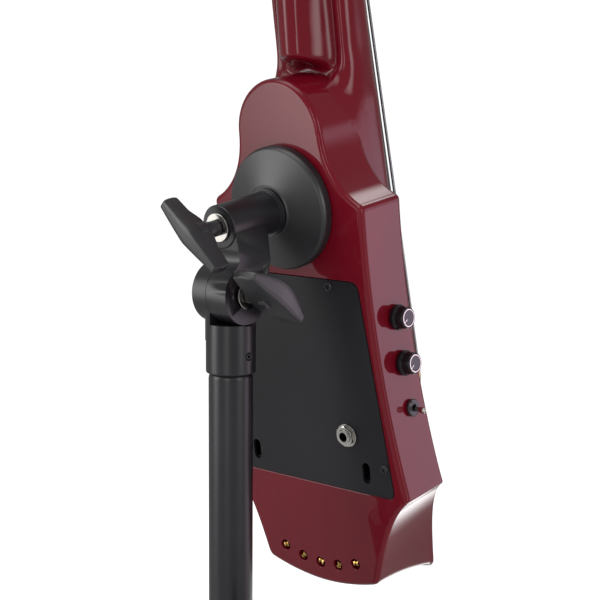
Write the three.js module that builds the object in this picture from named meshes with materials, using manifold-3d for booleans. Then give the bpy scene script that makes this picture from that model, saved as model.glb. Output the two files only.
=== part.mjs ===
// Electric cello on its tripod stand. Millimetres, +Z up. The strings face -Y and the stand is at the back.
import * as THREE from 'three';
import { mergeVertices } from 'three/addons/utils/BufferGeometryUtils.js';
import Module from 'manifold-3d';

const wasm = await Module();
wasm.setup();

// Clearances and shared sizes
const seatGap = 0.3;
const overrun = 5;
const mergeDistance = 1e-4;
const fineSides = 28;
const roundSides = 18;
const smallSides = 10;

// Attitude and place of the tilting hinge
const leanDegrees = 9.05;
const hingeHeight = 554;
const hingeBack = 57.9;
const hingeDrop = 43.4;

// Body, seen from its back: heights are measured from the axis of the mount
const podRadius = 36;
const podRise = 47.6;
const boutTopHalf = 64.6;
const boutTop = 2.5;
const boutBottomHalf = 82.5;
const boutBottom = -194;
const tailHalf = 51;
const tailCorner = -256;
const tailEnd = -269.8;
const tailCornerRound = 6;
const bodyThickness = 42;
const tailThickness = 70.5;
const tailFlare = 12;
const edgeRound = 3.5;

// Neck body, neck and fingerboard
const beamHalf = 34;
const beamHeel = -8;
const beamHeelFoot = -48;
const beamShoulder = 38;
const coveGap = 8;
const spineDepth = 15;
const spineEndDepth = 19;
const spineTop = 133;
const neckStart = 230;
const neckStartThickness = 26;
const neckEndThickness = 19.5;
const boardSeat = 74.1;
const boardSlope = 0.061;
const boardEdgeThickness = 5;
const boardRadius = 66;
const boardEnd = -22;
const boardEndHalf = 28.9;
const nutHalf = 17.5;
const nutThickness = 5;
const nutRise = 1.2;

// Headstock
const headLength = 176;
const headHalf = 28;
const headTipHalf = 19;
const headThickness = 15;
const headTiltDegrees = 8;
const headRound = 9;
const headOverlap = 12;

// Strings and bridge
const scaleLength = 698;
const bridgeHeight = -140;
const stringRadii = [1.0, 0.85, 0.7, 0.55, 0.45];
const bridgeSpread = 29.1;
const nutSpread = 15.7;
const stringSides = 6;
const stringOverHead = 9;
const bridgeTopDepth = 92;
const bridgeCrown = 6;
const bridgeThickness = 6;
const bridgeFootHalf = 33;
const bridgeTopHalf = 32;
const bridgeFootHeight = 10;
const bridgeWaistHalf = 24;
const bridgeLegHalf = 15;
const bridgeArch = 20;
const ballRadius = 2.7;
const ballLength = 4.5;
const ballSeatRadius = 3.4;
const ballSeatDepth = 8;
const stringHoleRadius = 1.9;
const holePitch = 16;
const holeArcRadius = 90;
const holeRow = -255.4;
const pickupHalf = 30;
const pickupWidth = 9;
const pickupDepth = 3;
const channelRadius = 2;

// Tuning machines: each row is a distance up the headstock
const postRadius = 3.2;
const postRise = 14;
const postInset = 11;
const postRows = [40, 78, 116, 97, 59];
const postSides = [-1, -1, -1, 1, 1];
const machinePlateThickness = 2;
const machineHouseLength = 20;
const machineHouseWidth = 13;
const machineHouseDepth = 9;
const machineWall = 2;
const machineShaftDepth = 5;
const machineShaftOffset = 6.5;
const shaftRadius = 2;
const shaftStart = 2;
const buttonReach = 10;
const buttonLength = 9;
const buttonHalfHeight = 10;
const buttonNeckHalf = 6;
const buttonThickness = 8;
const buttonRound = 3;

// Back cover and what is under it
const coverTop = -47;
const coverBottom = -193.9;
const coverTopHalf = 55.5;
const coverBottomHalf = 72;
const coverRound = 7;
const coverThickness = 2.2;
const cavityLedge = 9;
const cavityDepth = 35;
const slotHalf = 49.5;
const slotHeight = -178.9;
const slotWidth = 6.5;
const slotLength = 14.8;
const screwRadius = 3.2;
const screwShankRadius = 1.4;
const screwLength = 9;
const screwHeadRise = 1.4;
const screwInset = 4.5;
const screwTopHalf = 31.5;
const screwBottomInset = 6.8;
const screwBottomRise = 20.7;
const jackAcross = 36;
const jackHeight = -153.9;
const jackRadius = 4.7;
const jackBore = 3.2;
const jackRise = 5;
const jackNutFlats = 12.7;
const jackNutThickness = 2.4;
const jackWasherRadius = 8;
const jackWasherThickness = 0.8;
const jackBodyRadius = 9;
const jackBodyDepth = 20;
const boardLong = 64;
const boardWide = 40;
const boardThick = 1.6;
const boardDepth = 14;
const boardHeight = -112;
const boardPostRadius = 3;
const boardPostInset = 5;

// Controls on the bass side
const controlDepth = 24.9;
const volumeHeight = -75.3;
const toneHeight = -106.3;
const switchHeight = -137;
const wallMargin = 2;
const knobLift = 0.8;
const knobSkirtRadius = 8.4;
const knobSkirtThickness = 3;
const knobRadius = 7.3;
const knobHeight = 10.3;
const capRadius = 6;
const capThickness = 1;
const potRadius = 8;
const potLength = 9;
const potBushRadius = 3.4;
const potShaftRadius = 2.6;
const potShaftLength = 7;
const switchBodyRadius = 5;
const switchBodyDepth = 9;
const switchBushRadius = 3;
const switchNutRadius = 5.8;
const switchNutThickness = 2;
const switchMouthRadius = 2.3;
const switchMouthDepth = 2.4;
const leverRadius = 0.9;
const leverTipRadius = 1.5;
const leverLength = 11.5;
const leverThrowDegrees = 10;

// Mount on the back
const discRadius = 41;
const discLipRadius = 39.5;
const discRim = 6;
const discCrown = 9;
const discHeight = 16.5;
const sleeveRadius = 14;
const sleeveCollarRadius = 15.8;
const sleeveCollarWidth = 2;
const sleeveEnd = 62;
const boltRadius = 4;
const boltInBody = 24;
const boltReach = 16;
const washerRadius = 9.3;
const washerThickness = 1.6;
const armLeft = 14;
const armRight = 3;
const armFront = 33;
const armBack = 47;
const armWaist = 22;
const armTop = 8;
const knuckleRadius = 19.5;
const cheekThickness = 12.2;
const cheekWall = 3;

// Wing knobs
const wingHalf = 29;
const wingRoot = 8;
const wingSweep = 3;
const wingTip = 12;
const wingThickness = 16;
const wingTipThickness = 6;
const wingRound = 2;
const wingHubRadius = 5.2;
const wingHubLength = 10;
const wingBodyLength = 17;
const upperWingDegrees = -45;
const lowerWingDegrees = -46;

// Socket and sliding pole
const hingeBoltRadius = 4;
const socketRadius = 16;
const socketDrop = 51.5;
const socketBottom = hingeHeight - socketDrop;
const socketCut = 12;
const setScrewRadius = 2;
const setScrewLength = 6;
const setScrewRise = 12;
const poleRadius = 14.3;
const poleWall = 1.8;
const poleTopRound = 3;
const poleBottom = 150;
const spigotLength = 22;

// Outer tube, collar, crown and legs
const outerRadius = 17.5;
const outerBottom = 60;
const outerTop = 322;
const collarBottom = 296;
const collarTop = 342;
const collarRadius = 23.5;
const collarKnobRadius = 4;
const collarKnobHeight = 331;
const collarKnobDegrees = 150;
const crownRadius = 26;
const crownFoot = 12;
const lugThickness = 6;
const lugRound = 10;
const legCount = 3;
const legRadius = 8;
const legWall = 1.6;
const legPivotRadius = 38;
const legPivotHeight = 158;
const crownFall = 26;
const crownRise = 20;
const crownBottom = legPivotHeight - crownFall;
const crownTop = legPivotHeight + crownRise;
const legPinRadius = 3;
const legEndHeight = 14;
const legSpread = 312;
const footRadius = 13;
const footHeight = 16;
const footCup = 12;

// Finishes
const finishes = {
  lacquer: [0x4a0710, 0.12, 0.0],
  ebony: [0x17130f, 0.45, 0.0],
  maple: [0xb98a52, 0.5, 0.0],
  blackSatin: [0x1c1a1d, 0.42, 0.2],
  blackPlastic: [0x151417, 0.5, 0.0],
  plate: [0x232126, 0.45, 0.0],
  nickel: [0xb8b4aa, 0.25, 1.0],
  silverCap: [0x9c9ea2, 0.35, 1.0],
  brass: [0xb8893a, 0.3, 1.0],
  steel: [0x8f9196, 0.3, 1.0],
  rubber: [0x101010, 0.85, 0.0],
  circuit: [0x1f4d2b, 0.6, 0.0],
};

function finish([color, roughness, metalness]) {
  return new THREE.MeshStandardMaterial({ color, roughness, metalness });
}

// Directions and angles
const alongX = new THREE.Vector3(1, 0, 0);
const alongY = new THREE.Vector3(0, 1, 0);
const alongZ = new THREE.Vector3(0, 0, 1);
const quarter = Math.PI / 2;
const lean = THREE.MathUtils.degToRad(leanDegrees);
const headTilt = THREE.MathUtils.degToRad(headTiltDegrees);
const leverThrow = THREE.MathUtils.degToRad(leverThrowDegrees);
const nutHeight = bridgeHeight + scaleLength;

function place(x, y, z) {
  return new THREE.Matrix4().makeTranslation(x, y, z);
}

function turn(axis, angle) {
  return new THREE.Matrix4().makeRotationAxis(axis, angle);
}

function chain(...matrices) {
  return matrices.reduce((product, matrix) => product.multiply(matrix), new THREE.Matrix4());
}

function mix(low, high, share) {
  return low + (high - low) * share;
}

function ease(share) {
  const held = Math.min(Math.max(share, 0), 1);
  return held * held * (3 - 2 * held);
}

// Solids from closed meshes, and back
function bare(geometry) {
  const copy = geometry.clone();
  for (const name of Object.keys(copy.attributes)) {
    if (name !== 'position') copy.deleteAttribute(name);
  }
  return mergeVertices(copy, mergeDistance);
}

function toSolid(geometry, matrix = new THREE.Matrix4()) {
  const merged = outward(bare(geometry).applyMatrix4(matrix));
  return new wasm.Manifold(new wasm.Mesh({
    numProp: 3,
    vertProperties: new Float32Array(merged.attributes.position.array),
    triVerts: new Uint32Array(merged.index.array),
  }));
}

function toGeometry(solid) {
  const mesh = solid.getMesh();
  const geometry = new THREE.BufferGeometry();
  geometry.setAttribute('position', new THREE.BufferAttribute(new Float32Array(mesh.vertProperties), 3));
  geometry.setIndex(new THREE.BufferAttribute(new Uint32Array(mesh.triVerts), 1));
  geometry.computeVertexNormals();
  return geometry;
}

function cut(solid, ...tools) {
  return tools.reduce((rest, tool) => rest.subtract(tool), solid);
}

function join(first, ...others) {
  return others.reduce((sum, other) => sum.add(other), first);
}

// Turns a closed mesh so that its faces point out
function outward(geometry) {
  const { position } = geometry.attributes;
  const index = geometry.index.array;
  const corner = [0, 1, 2].map(() => new THREE.Vector3());
  let volume = 0;
  for (let face = 0; face < index.length; face += 3) {
    corner.forEach((point, step) => point.fromBufferAttribute(position, index[face + step]));
    volume += corner[0].dot(corner[1].cross(corner[2]));
  }
  if (volume < 0) {
    for (let face = 0; face < index.length; face += 3) {
      [index[face + 1], index[face + 2]] = [index[face + 2], index[face + 1]];
    }
  }
  return geometry;
}

// Round bars along each axis, from one end to the other
function bar(radius, low, high, sides = roundSides) {
  const geometry = new THREE.CylinderGeometry(radius, radius, high - low, sides);
  return geometry.applyMatrix4(chain(place(0, 0, (low + high) / 2), turn(alongX, quarter)));
}

function barX(radius, low, high, sides = roundSides) {
  return bar(radius, low, high, sides).applyMatrix4(turn(alongY, quarter));
}

function barY(radius, low, high, sides = roundSides) {
  return bar(radius, low, high, sides).applyMatrix4(turn(alongX, -quarter));
}

// A turned piece on +Z, or on +Y: the profile is a list of radius and height pairs
function turned(profile, sides = roundSides) {
  const points = profile.map(([radius, height]) => new THREE.Vector2(radius, height));
  return new THREE.LatheGeometry(points, sides).applyMatrix4(turn(alongX, quarter));
}

function turnedBack(profile, sides = roundSides) {
  return turned(profile, sides).applyMatrix4(turn(alongX, -quarter));
}

// An outline drawn in X and Z, given thickness along Y
function slab(shape, front, back, curveSegments = smallSides) {
  const options = { depth: back - front, bevelEnabled: false, curveSegments };
  const geometry = new THREE.ExtrudeGeometry(shape, options);
  return geometry.applyMatrix4(chain(place(0, back, 0), turn(alongX, quarter)));
}

// An outline drawn in Y and Z, given thickness along X
function sideSlab(shape, left, right, curveSegments = smallSides) {
  const options = { depth: right - left, bevelEnabled: false, curveSegments };
  const geometry = new THREE.ExtrudeGeometry(shape, options);
  return geometry.applyMatrix4(chain(place(left, 0, 0), turn(alongZ, quarter), turn(alongX, quarter)));
}

function roundedPolygon(corners, radius) {
  const shape = new THREE.Shape();
  const points = corners.map(([x, y]) => new THREE.Vector2(x, y));
  points.forEach((corner, index) => {
    const before = points[(index + points.length - 1) % points.length];
    const after = points[(index + 1) % points.length];
    const enter = corner.clone().add(before.clone().sub(corner).setLength(radius));
    const leave = corner.clone().add(after.clone().sub(corner).setLength(radius));
    if (index === 0) shape.moveTo(enter.x, enter.y);
    else shape.lineTo(enter.x, enter.y);
    shape.quadraticCurveTo(corner.x, corner.y, leave.x, leave.y);
  });
  shape.closePath();
  return shape;
}

// A skin over rings of points. Each ring is a right half and its mirror, and the end rings are closed across
function skin(rings) {
  const count = rings[0].length;
  const positions = rings.flatMap((ring) => ring.flatMap((point) => point.toArray()));
  const index = [];
  for (let ring = 0; ring < rings.length - 1; ring += 1) {
    for (let step = 0; step < count; step += 1) {
      const a = ring * count + step;
      const b = ring * count + ((step + 1) % count);
      index.push(a, b, a + count, b, b + count, a + count);
    }
  }
  const last = (rings.length - 1) * count;
  for (let step = 0; step < count / 2; step += 1) {
    const a = step;
    const b = step + 1;
    const c = count - step - 1;
    const d = (count - step) % count;
    if (b !== c) index.push(a, c, b, last + a, last + b, last + c);
    if (a !== d) index.push(a, d, c, last + a, last + c, last + d);
  }
  const geometry = new THREE.BufferGeometry();
  geometry.setAttribute('position', new THREE.Float32BufferAttribute(positions, 3));
  geometry.setIndex(index);
  return outward(geometry);
}

function mirrored(half) {
  const left = half.slice(1, -1).reverse().map((point) => new THREE.Vector3(-point.x, point.y, point.z));
  return [...half, ...left];
}

// Outline of the body's back: the right half, from the top of the pod to the bottom of the tail
const podArcSteps = 7;
const flareSteps = 6;
const sideSteps = 7;
const tailSteps = 7;
const cornerSteps = 3;
const endSteps = 5;
const flareShares = [[0.02, 0.43], [0.33, 0.81]];
const sideShares = [[-0.12, 0.36], [0.25, 0.69]];
const tailShares = [[0.52, 0.18], [0.77, 0.58]];
const cornerShares = [[0.15, 0.55], [0.45, 0.86]];
const endShares = [[0.33, 0.64], [0.69, 1]];
const tailCornerShare = 0.49;
const tailRiseShare = 0.85;
const roundShare = 0.3;
const middleShare = 0.5;
const frontShare = 0.78;

// A cubic curve between two corners, its handles given as shares of the way across and along
function bent(start, end, shares, steps) {
  const [first, second] = shares.map(([across, along]) => (
    new THREE.Vector2(mix(start.x, end.x, across), mix(start.y, end.y, along))
  ));
  return new THREE.CubicBezierCurve(start, first, second, end).getPoints(steps).slice(1);
}

function halfOutline() {
  const points = [];
  for (let step = 0; step <= podArcSteps; step += 1) {
    const angle = quarter * (1 - step / podArcSteps);
    points.push(new THREE.Vector2(podRadius * Math.cos(angle), podRise + podRadius * Math.sin(angle)));
  }
  const flareEnd = new THREE.Vector2(boutTopHalf - edgeRound / 2, boutTop);
  const sideStart = new THREE.Vector2(boutTopHalf, boutTop - edgeRound);
  const sideEnd = new THREE.Vector2(boutBottomHalf, boutBottom);
  const tailSide = new THREE.Vector2(tailHalf, tailCorner);
  const cornerEnd = new THREE.Vector2(tailHalf - tailCornerRound, mix(tailCorner, tailEnd, tailCornerShare));
  points.push(...bent(points[podArcSteps], flareEnd, flareShares, flareSteps));
  points.push(sideStart, ...bent(sideStart, sideEnd, sideShares, sideSteps));
  points.push(...bent(sideEnd, tailSide, tailShares, tailSteps));
  points.push(...bent(tailSide, cornerEnd, cornerShares, cornerSteps));
  points.push(...bent(cornerEnd, new THREE.Vector2(0, tailEnd), endShares, endSteps));
  return points;
}

const outline = halfOutline();

// Half width of the body's side at a height, and the slope of the side there
function sideHalfAt(height) {
  const side = outline.filter((point) => point.y <= boutTop && point.y >= boutBottom);
  const below = side.findIndex((point) => point.y <= height);
  const low = side[below];
  const high = side[below - 1];
  return mix(low.x, high.x, (height - low.y) / (high.y - low.y));
}

function sideTiltAt(height) {
  const fall = sideHalfAt(height - knobSkirtRadius) - sideHalfAt(height + knobSkirtRadius);
  return Math.atan2(fall, knobSkirtRadius * 2);
}

// Thickness of the body at a height: even over the bout, growing forward over the tail
function thicknessAt(height) {
  const share = Math.min(Math.max((boutBottom - height) / (boutBottom - tailEnd), 0), 1);
  return mix(bodyThickness, tailThickness, share ** tailRiseShare);
}

// One ring of the body: the outline drawn in by an inset, at a share of the depth and set back from it
function bodyRing(depthShare, back, inset) {
  const last = outline.length - 1;
  return mirrored(outline.map((point, step) => {
    const before = outline[Math.max(step - 1, 0)];
    const after = outline[Math.min(step + 1, last)];
    const normal = new THREE.Vector2(before.y - after.y, after.x - before.x).normalize();
    if (step === 0) normal.set(0, 1);
    if (step === last) normal.set(0, -1);
    const onAxis = step === 0 || step === last;
    const flare = ease((boutBottom - point.y) / (boutBottom - tailCorner)) * tailFlare * depthShare ** 2;
    return new THREE.Vector3(
      onAxis ? 0 : point.x - normal.x * inset,
      back - thicknessAt(point.y) * depthShare,
      point.y - normal.y * inset - flare,
    );
  }));
}

function backLayer() {
  const drawnIn = edgeRound * roundShare;
  return skin([
    bodyRing(0, 0, edgeRound),
    bodyRing(0, -drawnIn, drawnIn),
    bodyRing(0, -edgeRound, 0),
    bodyRing(middleShare, 0, 0),
    bodyRing(frontShare, 0, 0),
    bodyRing(1, edgeRound, 0),
    bodyRing(1, drawnIn, drawnIn),
    bodyRing(1, 0, edgeRound),
  ]);
}

// Neck body: sections as shares of the half width and of the way from front to back
const spineShares = [
  [0, 1], [0.27, 0.95], [0.46, 0.84], [0.53, 0.66], [0.56, 0.57], [0.66, 0.55],
  [0.78, 0.56], [0.91, 0.52], [0.98, 0.43], [1, 0.32], [0.96, 0.15], [0.86, 0],
];
const coreShares = [
  [0, 1], [0.2, 1], [0.4, 1], [0.56, 0.99], [0.66, 0.98], [0.76, 0.96],
  [0.87, 0.89], [0.95, 0.76], [0.99, 0.62], [1, 0.48], [0.97, 0.2], [0.86, 0],
];
const neckShares = [
  [0, 1], [0.3, 0.97], [0.57, 0.86], [0.78, 0.68], [0.87, 0.56], [0.92, 0.46],
  [0.95, 0.38], [0.97, 0.3], [0.985, 0.22], [1, 0.14], [1, 0.07], [1, 0],
];
const heelSteps = 4;
const neckSteps = 4;
const crownSteps = 5;

function seatAt(height) {
  return boardSlope * height - boardSeat;
}

function boardHalfAt(height) {
  return mix(boardEndHalf, nutHalf, (height - boardEnd) / (nutHeight - boardEnd));
}

function section(height, half, front, back, shares) {
  const points = shares.map(([across, deep]) => (
    new THREE.Vector3(half * across, mix(front, back, deep), height)
  ));
  return mirrored([...points, new THREE.Vector3(0, front, height)]);
}

function blended(first, second, share) {
  return first.map(([across, deep], step) => [
    mix(across, second[step][0], share),
    mix(deep, second[step][1], share),
  ]);
}

function beamCore() {
  const rings = [section(beamHeelFoot, beamHalf, -bodyThickness, -beamShoulder, coreShares)];
  [beamHeel, podRise, podRise + podRadius, spineTop].forEach((height) => {
    rings.push(section(height, beamHalf, seatAt(height), -beamShoulder, coreShares));
  });
  return skin(rings);
}

function spineAndNeck() {
  const start = podRise + podRadius / 2;
  const rings = [start, podRise + podRadius + coveGap, spineTop].map((height) => {
    const share = (height - start) / (spineTop - start);
    return section(height, beamHalf, seatAt(height), -mix(spineDepth, spineEndDepth, share), spineShares);
  });
  for (let step = 1; step <= heelSteps; step += 1) {
    const share = step / heelSteps;
    const height = mix(spineTop, neckStart, share);
    const back = mix(-spineEndDepth, seatAt(neckStart) + neckStartThickness, share);
    const half = mix(beamHalf, boardHalfAt(neckStart), ease(share));
    rings.push(section(height, half, seatAt(height), back, blended(spineShares, neckShares, ease(share))));
  }
  for (let step = 1; step <= neckSteps; step += 1) {
    const share = step / neckSteps;
    const height = mix(neckStart, nutHeight, share);
    const back = seatAt(height) + mix(neckStartThickness, neckEndThickness, share);
    rings.push(section(height, boardHalfAt(height), seatAt(height), back, neckShares));
  }
  const end = seatAt(nutHeight);
  rings.push(section(nutHeight + nutThickness, nutHalf, end, end + neckEndThickness, neckShares));
  return skin(rings);
}

// The headstock leans back from the nut; its own frame has its face at depth zero
const headDrop = headOverlap * Math.sin(headTilt) + seatGap;
const headRoot = place(0, seatAt(nutHeight) + headDrop, nutHeight + nutThickness);
const headMatrix = chain(headRoot, turn(alongX, -headTilt));
const headWideShare = 0.2;
const headShoulderShare = 0.8;

function headShape() {
  return roundedPolygon([
    [-nutHalf, -headOverlap], [nutHalf, -headOverlap], [headHalf, headLength * headWideShare],
    [headHalf, headLength * headShoulderShare], [headTipHalf, headLength],
    [-headTipHalf, headLength], [-headHalf, headLength * headShoulderShare],
    [-headHalf, headLength * headWideShare],
  ], headRound);
}

function postPlace(index) {
  return [postSides[index] * (headHalf - postInset), postRows[index]];
}

// Strings: where each one crosses the bridge and the nut, and its hole in the tail
const stringCount = stringRadii.length;

function acrossAt(index, spread) {
  return mix(-spread, spread, index / (stringCount - 1));
}

function crownAt(across, half, crown) {
  return crown * (1 - (across / half) ** 2);
}

function boardCrown(half) {
  return boardRadius - Math.sqrt(boardRadius ** 2 - half ** 2);
}

function nutCrest(across) {
  return boardEdgeThickness + nutRise + crownAt(across, nutHalf, boardCrown(nutHalf)) - seatAt(nutHeight);
}

function bridgeCrest(across) {
  return bridgeTopDepth + crownAt(across, bridgeSpread, bridgeCrown);
}

function holePlace(index) {
  const across = (index - (stringCount - 1) / 2) * holePitch;
  return [across, holeRow + holeArcRadius - Math.sqrt(holeArcRadius ** 2 - across ** 2)];
}

function stringPath(index) {
  const lift = stringRadii[index] + seatGap;
  const bridgeX = acrossAt(index, bridgeSpread);
  const nutX = acrossAt(index, nutSpread);
  const [holeX, holeZ] = holePlace(index);
  const [postX, postZ] = postPlace(index);
  const besidePost = postX - postSides[index] * (postRadius + lift);
  return [
    new THREE.Vector3(besidePost, -stringOverHead, postZ).applyMatrix4(headMatrix),
    new THREE.Vector3(nutX, -nutCrest(nutX) - lift, nutHeight + nutThickness / 2),
    new THREE.Vector3(bridgeX, -bridgeCrest(bridgeX) - lift, bridgeHeight + bridgeThickness / 2),
    new THREE.Vector3(bridgeX, -bridgeCrest(bridgeX) - lift, bridgeHeight - bridgeThickness / 2),
    new THREE.Vector3(holeX, -thicknessAt(holeZ) - lift * 2, holeZ),
    new THREE.Vector3(holeX, ballLength / 2 - ballSeatDepth, holeZ),
  ];
}

// A round bar through points, mitred where it bends
function barThrough(points, radius, sides) {
  const last = points.length - 1;
  return skin(points.map((point, step) => {
    const into = point.clone().sub(points[step === 0 ? 0 : step - 1]).normalize();
    const out = points[step === last ? last : step + 1].clone().sub(point).normalize();
    if (step === 0) into.copy(out);
    if (step === last) out.copy(into);
    const along = into.clone().add(out).normalize();
    const aside = new THREE.Vector3().crossVectors(alongX, along).normalize();
    const across = new THREE.Vector3().crossVectors(along, aside).normalize();
    const stretch = 1 / along.dot(out);
    return Array.from({ length: sides }, (_, side) => {
      const angle = (side / sides) * quarter * 4;
      return point.clone()
        .addScaledVector(across, Math.sin(angle) * radius)
        .addScaledVector(aside, Math.cos(angle) * radius * stretch);
    });
  }));
}

function stringPiece(index) {
  const [x, z] = holePlace(index);
  const seat = seatGap - ballSeatDepth;
  const ball = barY(ballRadius, seat, seat + ballLength, smallSides);
  const wire = toSolid(barThrough(stringPath(index), stringRadii[index], stringSides));
  return toGeometry(join(wire, toSolid(ball, place(x, 0, z))));
}

// Back cover outline and the cavity under it
function coverShape(inset) {
  const top = coverTop - inset;
  const bottom = coverBottom + inset;
  return roundedPolygon([
    [inset - coverBottomHalf, bottom], [coverBottomHalf - inset, bottom],
    [coverTopHalf - inset, top], [inset - coverTopHalf, top],
  ], coverRound);
}

function cavityHalfAt(height) {
  const share = (height - coverBottom) / (coverTop - coverBottom);
  return mix(coverBottomHalf, coverTopHalf, share) - cavityLedge;
}

const screwPlaces = [
  [-screwTopHalf, coverTop - screwInset], [screwTopHalf, coverTop - screwInset],
  [screwBottomInset - coverBottomHalf, coverBottom + screwBottomRise],
  [coverBottomHalf - screwBottomInset, coverBottom + screwBottomRise],
];

// Controls: the frame of each has its height axis square to the side of the body
function controlMatrix(height) {
  return chain(place(-sideHalfAt(height), -controlDepth, height), turn(alongY, sideTiltAt(height) - quarter));
}

function controlWallAt(height) {
  return sideHalfAt(height) - cavityHalfAt(height) + wallMargin;
}

function controlHole(height, radius) {
  return toSolid(bar(radius + seatGap, -controlWallAt(height) - overrun, overrun), controlMatrix(height));
}

function bodyPiece() {
  const cove = toSolid(barY(podRadius + coveGap, -beamShoulder, overrun, fineSides), place(0, 0, podRise));
  const head = toSolid(slab(headShape(), 0, headThickness, cornerSteps), headMatrix);
  const solid = join(toSolid(beamCore()), cut(toSolid(spineAndNeck()), cove), toSolid(backLayer()), head);
  const tools = [
    toSolid(slab(coverShape(-seatGap), -coverThickness - seatGap, overrun)),
    toSolid(slab(coverShape(cavityLedge), -cavityDepth, overrun)),
    toSolid(barY(boltRadius + seatGap, -boltInBody - seatGap, overrun)),
    toSolid(
      block(pickupHalf * 2 + seatGap * 2, pickupDepth + overrun, pickupWidth + seatGap * 2),
      place(0, (pickupDepth + seatGap - overrun) / 2 - bodyThickness, bridgeHeight),
    ),
    toSolid(
      barY(channelRadius, -bodyThickness, overrun - cavityDepth, smallSides),
      place(0, 0, bridgeHeight),
    ),
    ...[volumeHeight, toneHeight].map((height) => controlHole(height, potBushRadius)),
    controlHole(switchHeight, switchBushRadius),
    ...screwPlaces.map(([x, z]) => (
      toSolid(barY(screwShankRadius + seatGap, -screwLength - seatGap, overrun, smallSides), place(x, 0, z))
    )),
  ];
  for (let index = 0; index < stringCount; index += 1) {
    const [x, z] = holePlace(index);
    const [postX, postZ] = postPlace(index);
    tools.push(toSolid(
      barY(stringHoleRadius, -tailThickness - overrun, overrun, smallSides),
      place(x, 0, z),
    ));
    tools.push(toSolid(barY(ballSeatRadius, -ballSeatDepth, overrun, smallSides), place(x, 0, z)));
    tools.push(toSolid(
      barY(postRadius + seatGap, -overrun, headThickness + overrun, smallSides),
      chain(headMatrix, place(postX, 0, postZ)),
    ));
  }
  return toGeometry(cut(solid, ...tools));
}

function block(wide, deep, high) {
  return new THREE.BoxGeometry(wide, deep, high);
}

// Fingerboard, nut, bridge and pickup
function crownedRing(height, half, seat, crest) {
  const points = [new THREE.Vector3(0, seat, height), new THREE.Vector3(half, seat, height)];
  for (let step = 0; step <= crownSteps; step += 1) {
    const across = half * (1 - step / crownSteps);
    points.push(new THREE.Vector3(across, -crest(across), height));
  }
  return mirrored(points);
}

function fingerboard() {
  return skin([boardEnd, nutHeight - seatGap].map((height) => {
    const half = boardHalfAt(height);
    const edge = boardEdgeThickness - seatAt(height);
    const crest = (across) => edge + crownAt(across, half, boardCrown(half));
    return crownedRing(height, half, seatAt(height) - seatGap, crest);
  }));
}

function nut() {
  return skin([nutHeight, nutHeight + nutThickness].map((height) => (
    crownedRing(height, nutHalf, seatAt(nutHeight) - seatGap, nutCrest)
  )));
}

function bridgeShape() {
  const foot = bodyThickness + seatGap;
  const ankle = foot + bridgeFootHeight;
  const waist = mix(ankle, bridgeTopDepth, middleShare);
  const shape = new THREE.Shape();
  shape.moveTo(-bridgeFootHalf, foot);
  shape.lineTo(-bridgeLegHalf, foot);
  shape.quadraticCurveTo(0, foot + bridgeArch * 2, bridgeLegHalf, foot);
  shape.lineTo(bridgeFootHalf, foot);
  shape.lineTo(bridgeFootHalf, ankle);
  const shoulder = bridgeCrest(bridgeTopHalf);
  shape.bezierCurveTo(bridgeWaistHalf, waist, bridgeWaistHalf, waist, bridgeTopHalf, shoulder);
  for (let step = 1; step <= crownSteps * 2; step += 1) {
    const across = mix(bridgeTopHalf, -bridgeTopHalf, step / (crownSteps * 2));
    shape.lineTo(across, bridgeCrest(across));
  }
  shape.bezierCurveTo(-bridgeWaistHalf, waist, -bridgeWaistHalf, waist, -bridgeFootHalf, ankle);
  shape.closePath();
  return shape;
}

function bridge() {
  const options = { depth: bridgeThickness, bevelEnabled: false, curveSegments: crownSteps };
  const geometry = new THREE.ExtrudeGeometry(bridgeShape(), options);
  return geometry.applyMatrix4(chain(place(0, 0, bridgeHeight + bridgeThickness / 2), turn(alongX, Math.PI)));
}

function pickup() {
  return block(pickupHalf * 2, pickupDepth, pickupWidth)
    .applyMatrix4(place(0, pickupDepth / 2 - bodyThickness, bridgeHeight));
}

// Tuning machines: a plate with its housings on each side, and a post and a button for each string
const postWaistShare = 0.62;
const postLipShare = 0.88;
const postNeckShare = 0.75;

function machinePlate(side) {
  const rows = postRows.filter((row, index) => postSides[index] === side);
  const low = Math.min(...rows) - machineHouseLength / 2;
  const high = Math.max(...rows) + machineHouseLength / 2;
  const across = side * (headHalf - postInset);
  const back = headThickness + seatGap;
  const strip = block(machineHouseWidth, machinePlateThickness, high - low);
  const houses = rows.map((row) => toSolid(
    block(machineHouseWidth, machineHouseDepth, machineHouseLength),
    place(across, back + machineHouseDepth / 2, row),
  ));
  const tools = rows.flatMap((row) => [
    toSolid(
      barY(postRadius + seatGap, -overrun, back + machineHouseDepth - machineWall, smallSides),
      place(across, 0, row),
    ),
    toSolid(
      barX(shaftRadius + seatGap, shaftStart - seatGap, machineHouseWidth, smallSides),
      chain(place(across, back + machineShaftDepth, row + machineShaftOffset), sideTurn(side)),
    ),
  ]);
  const plate = toSolid(strip, place(across, back + machinePlateThickness / 2, (high + low) / 2));
  return toGeometry(cut(join(plate, ...houses), ...tools)).applyMatrix4(headMatrix);
}

function sideTurn(side) {
  return turn(alongZ, side < 0 ? Math.PI : 0);
}

function tunerPost(index) {
  const [x, z] = postPlace(index);
  const foot = -(headThickness + machineHouseDepth - machineWall);
  const profile = [
    [0, foot], [postRadius, foot], [postRadius, postRise / 2],
    [postRadius * postNeckShare, postRise * postWaistShare],
    [postRadius, postRise * postLipShare], [postRadius, postRise], [0, postRise],
  ];
  return turned(profile, smallSides).applyMatrix4(chain(headMatrix, place(x, 0, z), turn(alongX, quarter)));
}

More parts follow.
